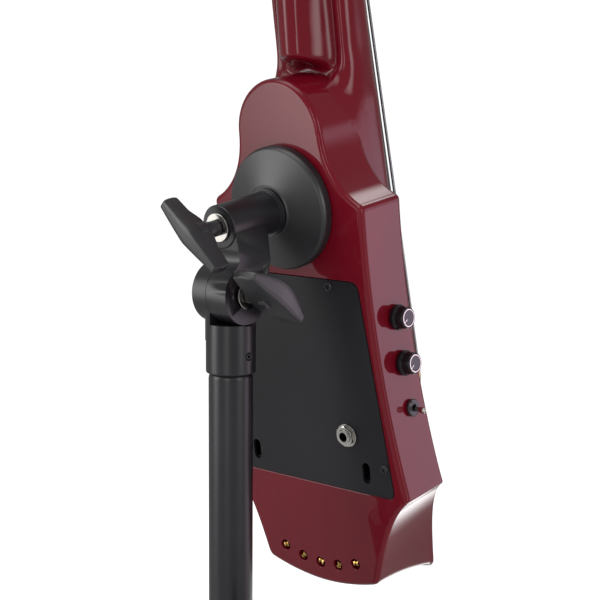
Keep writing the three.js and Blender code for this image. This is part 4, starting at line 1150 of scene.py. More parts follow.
def build_bridge():
    """Blank with a heart, two side openings and grooves, thinner at the crown than at the feet."""
    bridge = plated("bridge", bridge_outline(), -BRIDGE_THICKNESS / 2, BRIDGE_THICKNESS / 2)
    heart = [heart_rim(a) for a in np.linspace(0, FULL_TURN, 40, endpoint=False)]
    combined(bridge, opening(heart))
    for side in (-1, 1):
        eye = [(side * (18.5 + 3.6 * math.cos(a) + 1.5 * math.sin(a)), 72.5 + 5.4 * math.sin(a))
               for a in np.linspace(0, FULL_TURN, 28, endpoint=False)]
        combined(bridge, opening(eye))
    for index in range(len(STRING_RADII)):
        across = string_across(index, BRIDGE_SPREAD)
        radius = STRING_RADII[index]
        groove = rod("groove_tool", radius + 0.05, -9, 9, 20)
        seat = Matrix.Translation((across, bridge_crest(across) + radius * STRING_SEAT_SHARE, 0))
        combined(bridge, moved(groove, seat))
    edit(bridge)
    bpy.ops.mesh.select_all(action="SELECT")
    for height in (58, 66, 74, 82, 90):
        bpy.ops.mesh.bisect(plane_co=(0, height, 0), plane_no=(0, 1, 0))
        bpy.ops.mesh.select_all(action="SELECT")
    done()
    for vertex in bridge.data.vertices:
        vertex.co.z *= mix(1.0, 0.62, held((vertex.co.y - 46) / 52) ** 0.8)
    bevelled(bridge, 0.35, 2, 45)
    smoothed(bridge, 40)
    moved(bridge, Matrix.Translation((0, 0, BRIDGE_HEIGHT)) @ Matrix.Scale(-1, 4, (0, 1, 0)))
    edit(bridge)
    weld()
    done()
    return dress(bridge, INSTRUMENT, "instrument", finish_of("maple"), "maple", "bridge")


def build_pickup():
    """Low bar under the bridge feet: a stepped moulding with a rib along it."""
    bar = brick("bridge_pickup", (-30, -BODY_THICKNESS, BRIDGE_HEIGHT - 4.5),
                (30, 3 - BODY_THICKNESS, BRIDGE_HEIGHT + 4.5))
    edit(bar)
    bar_mesh = bmesh.from_edit_mesh(bar.data)
    for face in bar_mesh.faces:
        face.select = face.normal.y < -0.9
    bpy.ops.mesh.inset(thickness=1.4, depth=-0.6)
    bpy.ops.mesh.inset(thickness=1.0, depth=0.5)
    done()
    bevelled(bar, 0.4, 3)
    smoothed(bar, 40)
    plastic = finish_of("black_plastic")
    return dress(bar, INSTRUMENT, "instrument", plastic, "black_plastic", "bridge_pickup")


# Strings, their ball ends and the tuning machines

def wire_piece(name, points, radius, sides=10):
    """A round wire that follows points, made as a curve with thickness and turned into a mesh."""
    curve = bpy.data.curves.new(name, "CURVE")
    curve.dimensions = "3D"
    curve.bevel_depth = radius
    curve.bevel_resolution = max(sides // 4, 1)
    curve.use_fill_caps = True
    spline = curve.splines.new("POLY")
    spline.points.add(len(points) - 1)
    for slot, point in zip(spline.points, points):
        slot.co = (*point, 1)
    wire_object = bpy.data.objects.new(name, curve)
    bpy.context.collection.objects.link(wire_object)
    choose_only(wire_object)
    bpy.ops.object.convert(target="MESH")
    piece = named(name)
    edit(piece)
    weld()
    done()
    return piece


def eased_path(points, reach=1.5):
    """Points joined by straight runs, each bend softened over a small reach."""
    path = [Vector(points[0])]
    for before, here, after in zip(points, points[1:], points[2:]):
        before, here, after = Vector(before), Vector(here), Vector(after)
        enter = here + (before - here).normalized() * min(reach, (before - here).length / 2)
        leave = here + (after - here).normalized() * min(reach, (after - here).length / 2)
        for step in range(5):
            t = step / 4
            path.append(enter * (1 - t) ** 2 + here * 2 * t * (1 - t) + leave * t * t)
    path.append(Vector(points[-1]))
    return path


def string_path(index):
    radius = STRING_RADII[index]
    bridge_x, nut_x = string_across(index, BRIDGE_SPREAD), string_across(index, NUT_SPREAD)
    hole_x, hole_z = hole_place(index)
    post_x, post_z = post_place(index)
    side = POST_SIDES[index]
    coil = POST_RADIUS * 0.75 + radius + 0.1
    turns = []
    for step in range(41):
        angle = -side * step / 40 * 2.0 * FULL_TURN
        rise = -STRING_OVER_HEAD - 1.6 + min(radius * 2 * step / 20, 4)
        spot = (post_x - side * coil * math.cos(angle), rise, post_z + coil * math.sin(angle))
        turns.append(HEAD @ Vector(spot))
    nut_y = -nut_crest(nut_x) - radius * STRING_SEAT_SHARE
    bridge_y = -bridge_crest(bridge_x) - radius * STRING_SEAT_SHARE
    run = eased_path([
        turns[0], (nut_x, nut_y, NUT_HEIGHT + NUT_THICKNESS / 2),
        (bridge_x, bridge_y, BRIDGE_HEIGHT + BRIDGE_THICKNESS / 2),
        (bridge_x, bridge_y, BRIDGE_HEIGHT - BRIDGE_THICKNESS / 2),
        (hole_x, -thickness_at(hole_z) - radius, hole_z), (hole_x, -STRING_END_DEPTH, hole_z),
    ])
    return [*reversed(turns[1:]), *run]


def build_strings():
    for index, radius in enumerate(STRING_RADII):
        name = f"string_{index + 1}"
        wire_object = wire_piece(name, string_path(index), radius, 12)
        smoothed(wire_object, 60, False)
        dress(wire_object, INSTRUMENT, "instrument", finish_of("winding"), "steel", name)


def build_ball_ends():
    """A small waisted brass drum lying across each hole, with the string's loop in its groove."""
    for index in range(len(STRING_RADII)):
        x, z = hole_place(index)
        ball = turned("ball_end", [
            (0.95, -1.9), (2.3, -2.25), (2.7, -2.0), (2.8, -1.5), (2.75, -0.9), (2.0, -0.55), (2.0, 0.55),
            (2.75, 0.9), (2.8, 1.5), (2.7, 2.0), (2.3, 2.25), (0.95, 1.9), (0.95, -1.9),
        ], 32)
        ball.name = f"ball_end_{index + 1}"
        smoothed(ball, 40)
        turn = Matrix.Rotation(BALL_TURNS[index], 4, "Z") @ ALONG_X
        place = INSTRUMENT @ Matrix.Translation((x, -BALL_DEPTH, z)) @ FACING_BACK @ turn
        dress(ball, place, "instrument", finish_of("brass"), "nickel")


def machine_plate(side):
    rows = [row for row, where in zip(POST_ROWS, POST_SIDES) if where == side]
    across = side * (HEAD_HALF - POST_INSET)
    back = HEAD_THICKNESS + SEAT_GAP
    low, high = min(rows) - 10, max(rows) + 10
    plate = brick("machine_plate", (across - 6.5, back, low), (across + 6.5, back + 2, high), 0.6)
    for row in rows:
        house = brick("house", (across - 5.6, back + 1, row - 9.2),
                      (across + 5.6, back + 9, row + 9.2), 2.2, 4)
        combined(plate, house, "UNION")
        rim = moved(turned("rim", [(0, 0), (4.4, 0), (4.4, 0.5), (3.9, 0.9), (0, 0.9)], 32),
                    Matrix.Translation((across, back + 8.1, row - 2.5)) @ FACING_BACK)
        combined(plate, rim, "UNION")
        slot = brick("slot", (across - 3, back + 8.5, row - 3), (across + 3, back + 10, row - 2))
        combined(plate, slot)
        hole = rod("hole", POST_RADIUS + SEAT_GAP, -5, back + 7, 24)
        combined(plate, moved(hole, Matrix.Translation((across, 0, row)) @ FACING_BACK))
        shaft = moved(rod("shaft", 2.3, 1.7, 13, 20), Matrix.Rotation(QUARTER * side, 4, "Y"))
        combined(plate, moved(shaft, Matrix.Translation((across, back + 5, row + 6.5))))
    return plate


def build_tuner_plates():
    for side, end in ((-1, "bass"), (1, "treble")):
        name = f"tuner_plate_{end}"
        plate = machine_plate(side)
        plate.name = name
        smoothed(plate, 35)
        dress(plate, INSTRUMENT @ HEAD, "instrument", finish_of("black_metal"), "black_metal", name)


def build_posts():
    for index in range(len(STRING_RADII)):
        name = f"tuner_post_{index + 1}"
        foot = -(HEAD_THICKNESS + 7)
        post = turned(name, [
            (0, foot), (POST_RADIUS, foot), (POST_RADIUS, 6.4), (POST_RADIUS - 0.3, 7.2), (2.42, 8.2),
            (2.4, 11.6), (2.6, 12.1), (POST_RADIUS, 12.5), (POST_RADIUS, 13.5), (2.7, POST_RISE),
            (0, POST_RISE),
        ], 32)
        eye = moved(rod("eye", 0.8, -5, 5, 16), Matrix.Translation((0, 0, 9.8)) @ ALONG_X)
        combined(post, eye)
        smoothed(post, 35)
        x, z = post_place(index)
        place = INSTRUMENT @ HEAD @ Matrix.Translation((x, 0, z)) @ FACING_FRONT
        dress(post, place, name, finish_of("black_metal"), "black_metal", name)


def build_buttons():
    """Shaft with a collar, and an oval paddle that is thicker at its middle."""
    for index in range(len(STRING_RADII)):
        name = f"tuner_button_{index + 1}"
        paddle = plated("paddle", rounded_corners(
            [(21, -6), (30, -10), (30, 10), (21, 6)], 4.5, 8), -4, 4)
        bevelled(paddle, 2.6, 6, 40)
        profile = [(0, 2), (2, 2), (2, 12.5), (2.7, 12.8), (2.7, 14.2), (2.1, 14.8), (2.1, 19),
                   (3.6, 21.5), (0, 23)]
        shaft = moved(turned("shaft", profile, 24), ALONG_X)
        button = combined(moved(paddle, Matrix.Rotation(QUARTER, 4, "X")), shaft, "UNION")
        button.name = name
        smoothed(button, 40)
        x, z = post_place(index)
        side = Matrix.Rotation(math.pi if POST_SIDES[index] < 0 else 0, 4, "Z")
        spot = Matrix.Translation((x, HEAD_THICKNESS + SEAT_GAP + 5, z + 6.5))
        dress(button, INSTRUMENT @ HEAD @ spot @ side, name, finish_of("black_metal"), "black_metal", name)


# Cover plate with its screws, jack and the fittings in the cavity

def slot_tool(across):
    reach = (SLOT_LENGTH - SLOT_WIDTH) / 2
    points = []
    for step in range(33):
        angle = math.pi * step / 16
        rise = reach if step <= 16 else -reach
        points.append((across + SLOT_WIDTH / 2 * math.cos(angle),
                       SLOT_HEIGHT + rise + SLOT_WIDTH / 2 * math.sin(angle)))
        if step == 16:
            points.append((across - SLOT_WIDTH / 2, SLOT_HEIGHT - reach))
    return upright(plated("slot_tool", points[:-1], -3, 5), 0)


def build_cover():
    plate = upright(plated("cover_plate", cover_outline(0.0), 0, COVER_THICKNESS), 0)
    for side in (-1, 1):
        combined(plate, slot_tool(side * SLOT_HALF))
    jack_place = Matrix.Translation((JACK_ACROSS, 0, JACK_HEIGHT)) @ FACING_BACK
    combined(plate, moved(rod("jack_tool", JACK_HOLE_RADIUS, -5, 5, 40), jack_place))
    for x, z in SCREW_PLACES:
        hole = turned("hole", [(0, -5), (1.7, -5), (1.7, -0.9), (3.5, 0.3), (3.5, 2), (0, 2)], 32)
        combined(plate, moved(hole, Matrix.Translation((x, 0, z)) @ FACING_BACK))
    bevelled(plate, 0.35, 2, 50)
    smoothed(plate, 40)
    return dress(plate, INSTRUMENT, "instrument", finish_of("cover"), "cover_plastic", "cover_plate")


def build_cover_screws():
    """Low domed heads with a cross recess."""
    for index, (x, z) in enumerate(SCREW_PLACES):
        name = f"cover_screw_{index + 1}"
        screw = turned(name, [
            (0, -9), (0.5, -8.6), (1.4, -7.2), (1.4, -1.6), (3.1, -0.1), (3.2, 0.3), (3.05, 0.75),
            (2.5, 1.2), (1.5, 1.55), (0, 1.7),
        ], 32)
        for turn_of in (0.5, 0.5 + QUARTER):
            cross = brick("cross", (-1.9, -0.38, 0.55), (1.9, 0.38, 3))
            combined(screw, moved(cross, Matrix.Rotation(turn_of + index, 4, "Z")))
        smoothed(screw, 35)
        place = INSTRUMENT @ Matrix.Translation((x, 0, z)) @ FACING_BACK
        dress(screw, place, "instrument", finish_of("black_metal"), "black_metal", name)


def build_jack():
    place = INSTRUMENT @ Matrix.Translation((JACK_ACROSS, 0, JACK_HEIGHT)) @ FACING_BACK
    back = -COVER_THICKNESS - SEAT_GAP
    floor = back - 20
    thread = []
    for step in range(9):
        rise = mix(0.4, 4.4, step / 8)
        thread += [(4.7, rise), (4.5, rise + 0.25)]
    socket = turned("jack_socket", [
        (0, floor + 1.6), (0, floor), (8.6, floor), (9, floor + 0.4), (9, back - 0.4), (8.6, back),
        (4.7, back), *thread, (4.6, 4.8), (4.4, 5), (3.5, 5), (3.2, 4.7), (3.2, floor + 1.6),
        (0, floor + 1.6),
    ], 48)
    smoothed(socket, 35)
    dress(socket, place, "instrument", finish_of("nickel"), "nickel", "jack_socket")
    top = SEAT_GAP + 0.8
    nut = rod("jack_nut", JACK_NUT_ACROSS / math.sqrt(3), top, top + 2.4, 6)
    round_off = turned("round_off", [
        (0, top - 1), (6.5, top - 1), (7.4, top + 0.2), (7.4, top + 1.9), (6.2, top + 2.5), (0, top + 2.5),
    ], 48)
    combined(nut, round_off, "INTERSECT")
    washer = turned("washer", [
        (4.9, 0.3), (7.8, 0.3), (8, 0.5), (8, 0.9), (7.8, 1.1), (4.9, 1.15), (4.9, 0.3),
    ], 48)
    combined(nut, rod("bore", JACK_HOLE_RADIUS, -2, 6, 40))
    nut = joined("jack_nut", [nut, washer])
    smoothed(nut, 30)
    return dress(nut, place, "instrument", finish_of("nickel"), "nickel", "jack_nut")


def finish_frame_nodes(key, *nodes):
    for name in nodes:
        node_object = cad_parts[name]
        node_object = bpy.data.objects[node_object] if isinstance(node_object, str) else node_object
        node_object.data.materials.clear()
        node_object.data.materials.append(finish_of(key))


# Controls on the side of the body

def build_knob(name, height, sizes):
    """Skirted knob with fine ribs round its grip, and a bore for its shaft."""
    knob = turned(name, [
        (0, 7.3), (2.9, 7.3), (2.9, 0.8), (KNOB_SKIRT_RADIUS - 0.4, 0.8), (KNOB_SKIRT_RADIUS, 1.2),
        (KNOB_SKIRT_RADIUS, 3.2), (KNOB_SKIRT_RADIUS - 0.4, 3.7), (7.5, 4.3), (7.3, 5), (7.15, 9.7),
        (6.8, 10.2), (6.5, 10.3), (6.3, 10.3), (6.3, 9.3), (0, 9.3),
    ], 96)
    ribs = []
    for step in range(sizes.knob_ribs):
        rib = rod("rib", 0.28, 4.4, 11, 6)
        angle = FULL_TURN * step / sizes.knob_ribs
        place = (KNOB_RIB_RADIUS * math.cos(angle), KNOB_RIB_RADIUS * math.sin(angle), 0)
        ribs.append(moved(rib, Matrix.Translation(place)))
    combined(knob, joined("ribs", ribs))
    smoothed(knob, 30)
    return dress(knob, INSTRUMENT @ control_matrix(height), name.replace("knob", "control"),
                 finish_of("knob"), "black_plastic", name)


def build_cap(name, height):
    """Dished cap with a bright rim and a pointer line."""
    cap = turned(name, [
        (0, 9.6), (6.0, 9.6), (6.0, 10.35), (5.8, 10.6), (5.3, 10.6), (5.0, 10.42), (0, 10.36),
    ], 64)
    pointer = brick("pointer", (-0.4, 1.4, 10.2), (0.4, 5.6, 11))
    combined(cap, moved(pointer, Matrix.Rotation(POINTER_TURN, 4, "Z")))
    smoothed(cap, 30)
    cap.data.materials.clear()
    cap.data.materials.append(finish_of("silver"))
    cap.data.materials.append(finish_of("nickel"))
    for face in cap.data.polygons:
        beside, rise = math.hypot(face.center.x, face.center.y), face.center.z
        on_rim = beside > 5.2 and rise > 10.35
        in_pointer = beside < 5.7 and 10 < rise < 10.3
        face.material_index = int(on_rim or in_pointer)
    return dress(cap, INSTRUMENT @ control_matrix(height), name.replace("knob_cap", "control"),
                 None, "silver", name)


def build_switch():
    """Round dress nut with two spanner slots on a short bush."""
    place = INSTRUMENT @ control_matrix(SWITCH_HEIGHT)
    inner = -(body_half_at(SWITCH_HEIGHT) - cavity_half_at(SWITCH_HEIGHT) + 2) - SEAT_GAP
    switch = turned("toggle_switch", [
        (0, inner - 9), (5, inner - 9), (5, inner), (3, inner), (3, 0.8), (5.6, 0.8), (5.8, 1.0),
        (5.8, 2.2), (5.3, 2.8), (3.1, 2.8), (2.9, 3.0), (2.5, 3.0), (2.3, 2.8), (2.3, -2.4), (0, -2.4),
    ], 48)
    for turn_of in (0, math.pi):
        notch = brick("notch", (4.3, -0.6, 1.9), (7, 0.6, 4))
        combined(switch, moved(notch, Matrix.Rotation(turn_of + 0.4, 4, "Z")))
    smoothed(switch, 35)
    dress(switch, place, "instrument", finish_of("black_plastic"), "black_plastic", "toggle_switch")
    lever = turned("toggle_lever", [
        (0, -0.9), (0.6, -0.8), (1.05, -0.4), (1.3, 3), (1.7, 7), (2.05, 9.4), (2.1, 10.3), (1.7, 11.1),
        (0.9, 11.45), (0, 11.5),
    ], 32)
    smoothed(lever, 40)
    place = place @ Matrix.Rotation(-LEVER_TURN, 4, "Y")
    return dress(lever, place, "toggle_lever", finish_of("nickel"), "nickel", "toggle_lever")


def cavity_half_at(height):
    share = (height - COVER_BOTTOM) / (COVER_TOP - COVER_BOTTOM)
    return mix(COVER_BOTTOM_HALF, COVER_TOP_HALF, share) - CAVITY_LEDGE


# Mount on the back: disc, clamp, bolts, washers and wing knobs

SLEEVE_END = 62.0
ARM_LEFT = 14.0
ARM_RIGHT = 3.0
KNUCKLE_RADIUS = 19.5
ARM_FRONT = 33.0
ARM_BACK = 61.2
ARM_FOOT = -14.0
CHEEK_THICKNESS = 12.2
CHEEK_WALL = 3.0
BOLT_HOLE_RADIUS = 4.3
BOLT_REACH = 16.0
WASHER_THICKNESS = 1.6
SOCKET_RADIUS = 16.0
SOCKET_BOTTOM = HINGE_HEIGHT - 51.5
SET_SCREW_RISE = 12.0
UPPER_START = SLEEVE_END + SEAT_GAP * 3 + WASHER_THICKNESS
LOWER_START = -ARM_LEFT - SEAT_GAP * 3 - WASHER_THICKNESS
UPPER_WING_TURN = math.radians(-45)
LOWER_WING_TURN = math.radians(-46)
BACK_TURN = INSTRUMENT @ FACING_BACK
KNUCKLE = Matrix.Translation((0, HINGE_BACK, -HINGE_DROP))
SIDE_TURN = Matrix.Rotation(-QUARTER, 4, "Y")


def build_disc():
    """Moulded disc: a flat rim with a soft edge, then a shallow cone up to its seat."""
    disc = turned("mount_disc", [
        (4.3, 0.3), (40.4, 0.3), (41, 0.9), (41, 5.4), (40.7, 6.3), (40.2, 7.4), (39.7, 8.3), (38.9, 9.0),
        (37.5, 9.4), (27, 12.75), (18, 15.55), (17.2, 16.0), (16.6, 16.5), (4.3, 16.5), (4.3, 0.3),
    ], 128)
    smoothed(disc, 30)
    return dress(disc, BACK_TURN, "instrument", finish_of("black_plastic"), "black_plastic", "mount_disc")


def arm_outline():
    knuckle_high = (HINGE_BACK + KNUCKLE_RADIUS * 0.56, KNUCKLE_RADIUS * 0.82 - HINGE_DROP)
    foot = (ARM_BACK, ARM_FOOT)
    neck = cubic(foot, (ARM_BACK - 1, ARM_FOOT - 6), (ARM_BACK - 0.7, ARM_FOOT - 10), knuckle_high, 10)
    return [(ARM_FRONT, -3), (ARM_BACK, -3), foot, *neck, (HINGE_BACK, -HINGE_DROP),
            (HINGE_BACK - KNUCKLE_RADIUS, -HINGE_DROP), (ARM_FRONT, ARM_FOOT - 12)]


def build_clamp():
    """Sleeve with a collar, and an arm that drops from it to the knuckle."""
    hub = turned("clamp_hub", [
        (0, 16.8), (15.5, 16.8), (15.8, 17.1), (15.8, 18.5), (15.5, 18.8), (14.4, 18.8), (14, 19.2),
        (14, SLEEVE_END - 0.8), (13.6, SLEEVE_END - 0.2), (13.2, SLEEVE_END), (0, SLEEVE_END),
    ], 96)
    moved(hub, FACING_BACK)
    arm = plated("arm", arm_outline(), -ARM_LEFT, ARM_RIGHT)
    moved(arm, Matrix(((0, 0, 1, 0), (1, 0, 0, 0), (0, 1, 0, 0), (0, 0, 0, 1))))
    knuckle = rod("knuckle", KNUCKLE_RADIUS, -ARM_LEFT, ARM_RIGHT, 96)
    moved(knuckle, KNUCKLE @ ALONG_X)
    combined(arm, knuckle, "UNION")
    bevelled(arm, 1.2, 3, 35)
    combined(hub, arm, "UNION")
    combined(hub, moved(rod("bore", BOLT_HOLE_RADIUS, 0, 70, 40), FACING_BACK))
    combined(hub, moved(rod("bore", BOLT_HOLE_RADIUS, -20, 10, 40), KNUCKLE @ ALONG_X))
    smoothed(hub, 35)
    return dress(hub, INSTRUMENT, "clamp", finish_of("black_metal"), "black_metal", "clamp_hub")


def build_washers():
    bore, top = BOLT_HOLE_RADIUS, WASHER_THICKNESS
    profile = [(bore, 0.1), (bore + 0.2, 0), (9.0, 0), (9.3, 0.3), (9.3, top - 0.3), (9.0, top),
               (bore + 0.2, top), (bore, top - 0.1), (bore, 0.1)]
    places = (("mount_washer", Matrix.Translation((0, SLEEVE_END + SEAT_GAP, 0)) @ FACING_BACK),
              ("hinge_washer", KNUCKLE @ Matrix.Translation((-ARM_LEFT - SEAT_GAP, 0, 0)) @ SIDE_TURN))
    for name, place in places:
        washer = turned(name, profile, 64)
        smoothed(washer, 30)
        dress(washer, INSTRUMENT @ place, "clamp", finish_of("nickel"), "nickel", name)


def screw_rod(name, low, high):
    """A round bolt with a chamfered end and fine threads over its last part."""
    profile = [(0, low), (3.5, low), (4, low + 0.6)]
    for step in range(12):
        rise = low + 1.2 + step * 1.2
        profile += [(4, rise), (3.72, rise + 0.6)]
    profile += [(4, low + BOLT_REACH), (4, high - 0.6), (3.5, high), (0, high)]
    bolt = turned(name, profile, 40)
    return smoothed(bolt, 35)


def build_bolts():
    bolt = screw_rod("mount_bolt", -UPPER_START + SEAT_GAP - BOLT_REACH, 24)
    dress(bolt, INSTRUMENT @ FACING_FRONT, "instrument", finish_of("steel"), "steel", "mount_bolt")
    low = LOWER_START - BOLT_REACH + SEAT_GAP
    high = ARM_RIGHT + CHEEK_THICKNESS - CHEEK_WALL
    bolt = screw_rod("hinge_bolt", low, high)
    return dress(bolt, HINGE @ ALONG_X, "pole", finish_of("steel"), "steel", "hinge_bolt")


WING_HALF = 29.0
PLAIN_WING = {"foot": 10.0, "waist": 6.6, "taper": 0.95, "lean": 0.0}
DEEP_WING = {"foot": 5.0, "waist": 7.6, "taper": 1.7, "lean": 3.5}


def oval_ring(x, low, high, half, power, sides=36):
    """Section of a wing across its length: a square with soft sides between two heights."""
    ring = []
    middle, reach = (low + high) / 2, (high - low) / 2
    for step in range(sides):
        angle = FULL_TURN * step / sides
        up, out = math.cos(angle), math.sin(angle)
        size = (abs(up) ** power + abs(out) ** power) ** (-1 / power)
        ring.append((x, half * out * size, middle + reach * up * size))
    return ring


def wing_blank(name, foot, waist, taper, lean):
    """Wings that are widest at the hub and run out to narrow ends, with crisp but rounded edges."""
    rings = []
    for step in range(81):
        x = WING_HALF * math.sin(mix(-QUARTER, QUARTER, step / 80))
        away = abs(x) / WING_HALF
        end = math.sqrt(max(1 - max((abs(x) - 27.0) / 2.0, 0) ** 2, 0.02))
        low = mix(foot, foot + 3.0, ease((away - 0.2) / 0.4))
        high = mix(27.0, 25.0, away ** 1.5)
        middle = (low + high) / 2
        half = mix(waist, 2.8, math.sqrt(away ** 2 + 0.004) ** taper)
        ring = oval_ring(x, mix(middle, low, end), mix(middle, high, end), half * mix(0.55, 1, end), 7)
        rings.append([(px, py - lean * (1 - away ** 2) * (pz - low) / 20, pz) for px, py, pz in ring])
    return lofted(name, rings)


def wing_knob(name, bore, depth, shape, stud=None):
    """Moulded wing knob on Z: hub with a foot, wings and a blind bore."""
    wings = wing_blank(name, **shape)
    hub = turned("hub", [
        (0, 0), (4.8, 0), (5.2, 0.4), (5.2, 5), (5.4, 8), (6.2, 10.5), (7.2, 13), (7.2, 18), (0, 20),
    ], 64)
    knob = combined(wings, hub, "UNION")
    if stud is None:
        combined(knob, rod("bore", bore, -5, depth, 40))
    else:
        combined(knob, rod("stud", 4, -stud, 4, 40), "UNION")
    return smoothed(knob, 38)


def build_wing_knobs():
    plastic = finish_of("black_plastic")
    upper = wing_knob("wing_knob_upper", BOLT_HOLE_RADIUS, BOLT_REACH + SEAT_GAP, PLAIN_WING)
    turn = Matrix.Rotation(UPPER_WING_TURN, 4, "Y")
    place = Matrix.Translation((0, UPPER_START, 0)) @ turn @ FACING_BACK
    dress(upper, INSTRUMENT @ place, "upper_wing", plastic, "black_plastic", "wing_knob_upper")
    lower = wing_knob("wing_knob_lower", BOLT_HOLE_RADIUS, BOLT_REACH, DEEP_WING)
    turn = Matrix.Rotation(LOWER_WING_TURN, 4, "X")
    place = KNUCKLE @ Matrix.Translation((LOWER_START, 0, 0)) @ turn @ SIDE_TURN
    dress(lower, INSTRUMENT @ place, "lower_wing", plastic, "black_plastic", "wing_knob_lower")


# Stand: socket, pole, tube, collar, crown, legs and feet

def build_socket():
    """Turned socket cut away for the knuckle, with one cheek and a spigot that enters the pole."""
    left, right = ARM_RIGHT + SEAT_GAP, ARM_RIGHT + SEAT_GAP + CHEEK_THICKNESS
    low = SOCKET_BOTTOM - HINGE_HEIGHT
    socket = turned("tilt_socket", [
        (0, low), (SOCKET_RADIUS - 1.1, low), (SOCKET_RADIUS - 0.3, low + 0.5),
        (SOCKET_RADIUS, low + 1.3), (SOCKET_RADIUS, 0), (0, 0)], 96)
    side = brick("side", (left - 32, -22, -19.5), (left + 0.1, 22, 19.6))
    combined(socket, side)
    clear = moved(rod("clear", KNUCKLE_RADIUS + 0.6, -21, left + 0.1, 96), ALONG_X)
    combined(socket, clear)
    cheek = moved(rod("cheek", KNUCKLE_RADIUS, left, right, 96), ALONG_X)
    combined(cheek, brick("neck", (left + 0.2, -8, -31.5), (right - 0.2, 8, 0)), "UNION")
    bevelled(cheek, 1.0, 3, 40)
    combined(socket, cheek, "UNION")
    combined(socket, rod("spigot", 12.2, low - 22, low + 5, 64, 0.8), "UNION")
    combined(socket, moved(rod("bolt", BOLT_HOLE_RADIUS, -5, right - CHEEK_WALL, 40), ALONG_X))
    screw = turned("screw_hole", [
        (0, -25), (2.8, -25), (2.8, -15.9), (2.3, -15.2), (2.3, -9.7), (0, -9.7),
    ], 32)
    screw_place = Matrix.Translation((0, 0, low + SET_SCREW_RISE)) @ ALONG_X
    combined(socket, moved(screw, screw_place))
    smoothed(socket, 35)
    dress(socket, HINGE, "pole", finish_of("black_metal"), "black_metal", "tilt_socket")
    grub = turned("socket_set_screw", [
        (0, -10), (1.6, -10), (2, -10.4), (2, -15.6), (1.6, -16), (1.2, -16), (1.2, -14.2), (0, -14.2)], 32)
    smoothed(grub, 35)
    return dress(grub, HINGE @ screw_place, "pole", finish_of("black_metal"), "steel", "socket_set_screw")


POLE_RADIUS = 14.3
POLE_BOTTOM = 150.0
TUBE_BOTTOM = 60.0
TUBE_TOP = 322.0
COLLAR_KNOB_HEIGHT = 331.0
COLLAR_KNOB_TURN = math.radians(150)
COLLAR_KNOB_START = 23.8


def build_tubes():
    """Sliding pole with rounded ends, and the outer tube with a plain rim."""
    top = SOCKET_BOTTOM - SEAT_GAP
    pole = turned("inner_tube", [
        (12.5, POLE_BOTTOM + 0.5), (12.9, POLE_BOTTOM), (POLE_RADIUS - 0.4, POLE_BOTTOM),
        (POLE_RADIUS, POLE_BOTTOM + 0.4), (POLE_RADIUS, top - 3), (POLE_RADIUS - 0.2, top - 1.7),
        (POLE_RADIUS - 0.7, top - 0.7), (12.9, top), (12.5, top - 0.3), (12.5, POLE_BOTTOM + 0.5),
    ], 96)
    smoothed(pole, 30)
    dress(pole, STAND, "pole", finish_of("black_metal"), "black_metal", "inner_tube")
    tube = turned("outer_tube", [
        (14.6, TUBE_BOTTOM + 0.4), (15, TUBE_BOTTOM), (17.1, TUBE_BOTTOM), (17.5, TUBE_BOTTOM + 0.4),
        (17.5, TUBE_TOP - 0.6), (17, TUBE_TOP), (15, TUBE_TOP), (14.6, TUBE_TOP - 0.4),
        (14.6, TUBE_BOTTOM + 0.4),
    ], 96)
    smoothed(tube, 30)
    return dress(tube, STAND, "base", finish_of("black_metal"), "black_metal", "outer_tube")


def build_collar():
    """Height collar with a shallow groove and a hole for its knob."""
    ring = turned("height_collar", [
        (17.8, 296), (22.7, 296), (23.5, 296.8), (23.5, 301), (22.9, 301.6), (22.9, 303), (23.5, 303.6),
        (23.5, 320), (23.5, 339.5), (22.9, 341), (21.5, 342), (15.2, 342), (14.6, 341.4), (14.6, 322.3),
        (17.8, 322.3), (17.8, 296),
    ], 96)
    turn = Matrix.Rotation(COLLAR_KNOB_TURN, 4, "Z")
    knob_place = Matrix.Translation((0, 0, COLLAR_KNOB_HEIGHT)) @ turn
    combined(ring, moved(rod("hole", BOLT_HOLE_RADIUS, 0, 30, 40), knob_place @ ALONG_X))
    smoothed(ring, 30)
    plastic = finish_of("black_plastic")
    dress(ring, STAND, "base", plastic, "black_plastic", "height_collar")
    stud = COLLAR_KNOB_START - POLE_RADIUS - SEAT_GAP
    knob = wing_knob("collar_knob", 0, 0, PLAIN_WING, stud)
    place = knob_place @ Matrix.Translation((COLLAR_KNOB_START, 0, 0)) @ ALONG_X
    return dress(knob, STAND @ place, "collar_knob", plastic, "black_plastic", "collar_knob")


LEG_PIVOT = 38.0
LEG_HEIGHT = 158.0
LEG_SPREAD = 312.0
LEG_END = 14.0
LEG_ANGLE = math.atan2(LEG_SPREAD - LEG_PIVOT, LEG_HEIGHT - LEG_END)
LEG_LENGTH = math.hypot(LEG_SPREAD - LEG_PIVOT, LEG_HEIGHT - LEG_END)


def leg_turn(index):
    return Matrix.Rotation(index / 3 * FULL_TURN + QUARTER, 4, "Z")


def leg_frame(index):
    return (leg_turn(index) @ Matrix.Translation((LEG_PIVOT, 0, LEG_HEIGHT))
            @ Matrix.Rotation(math.pi - LEG_ANGLE, 4, "Y"))


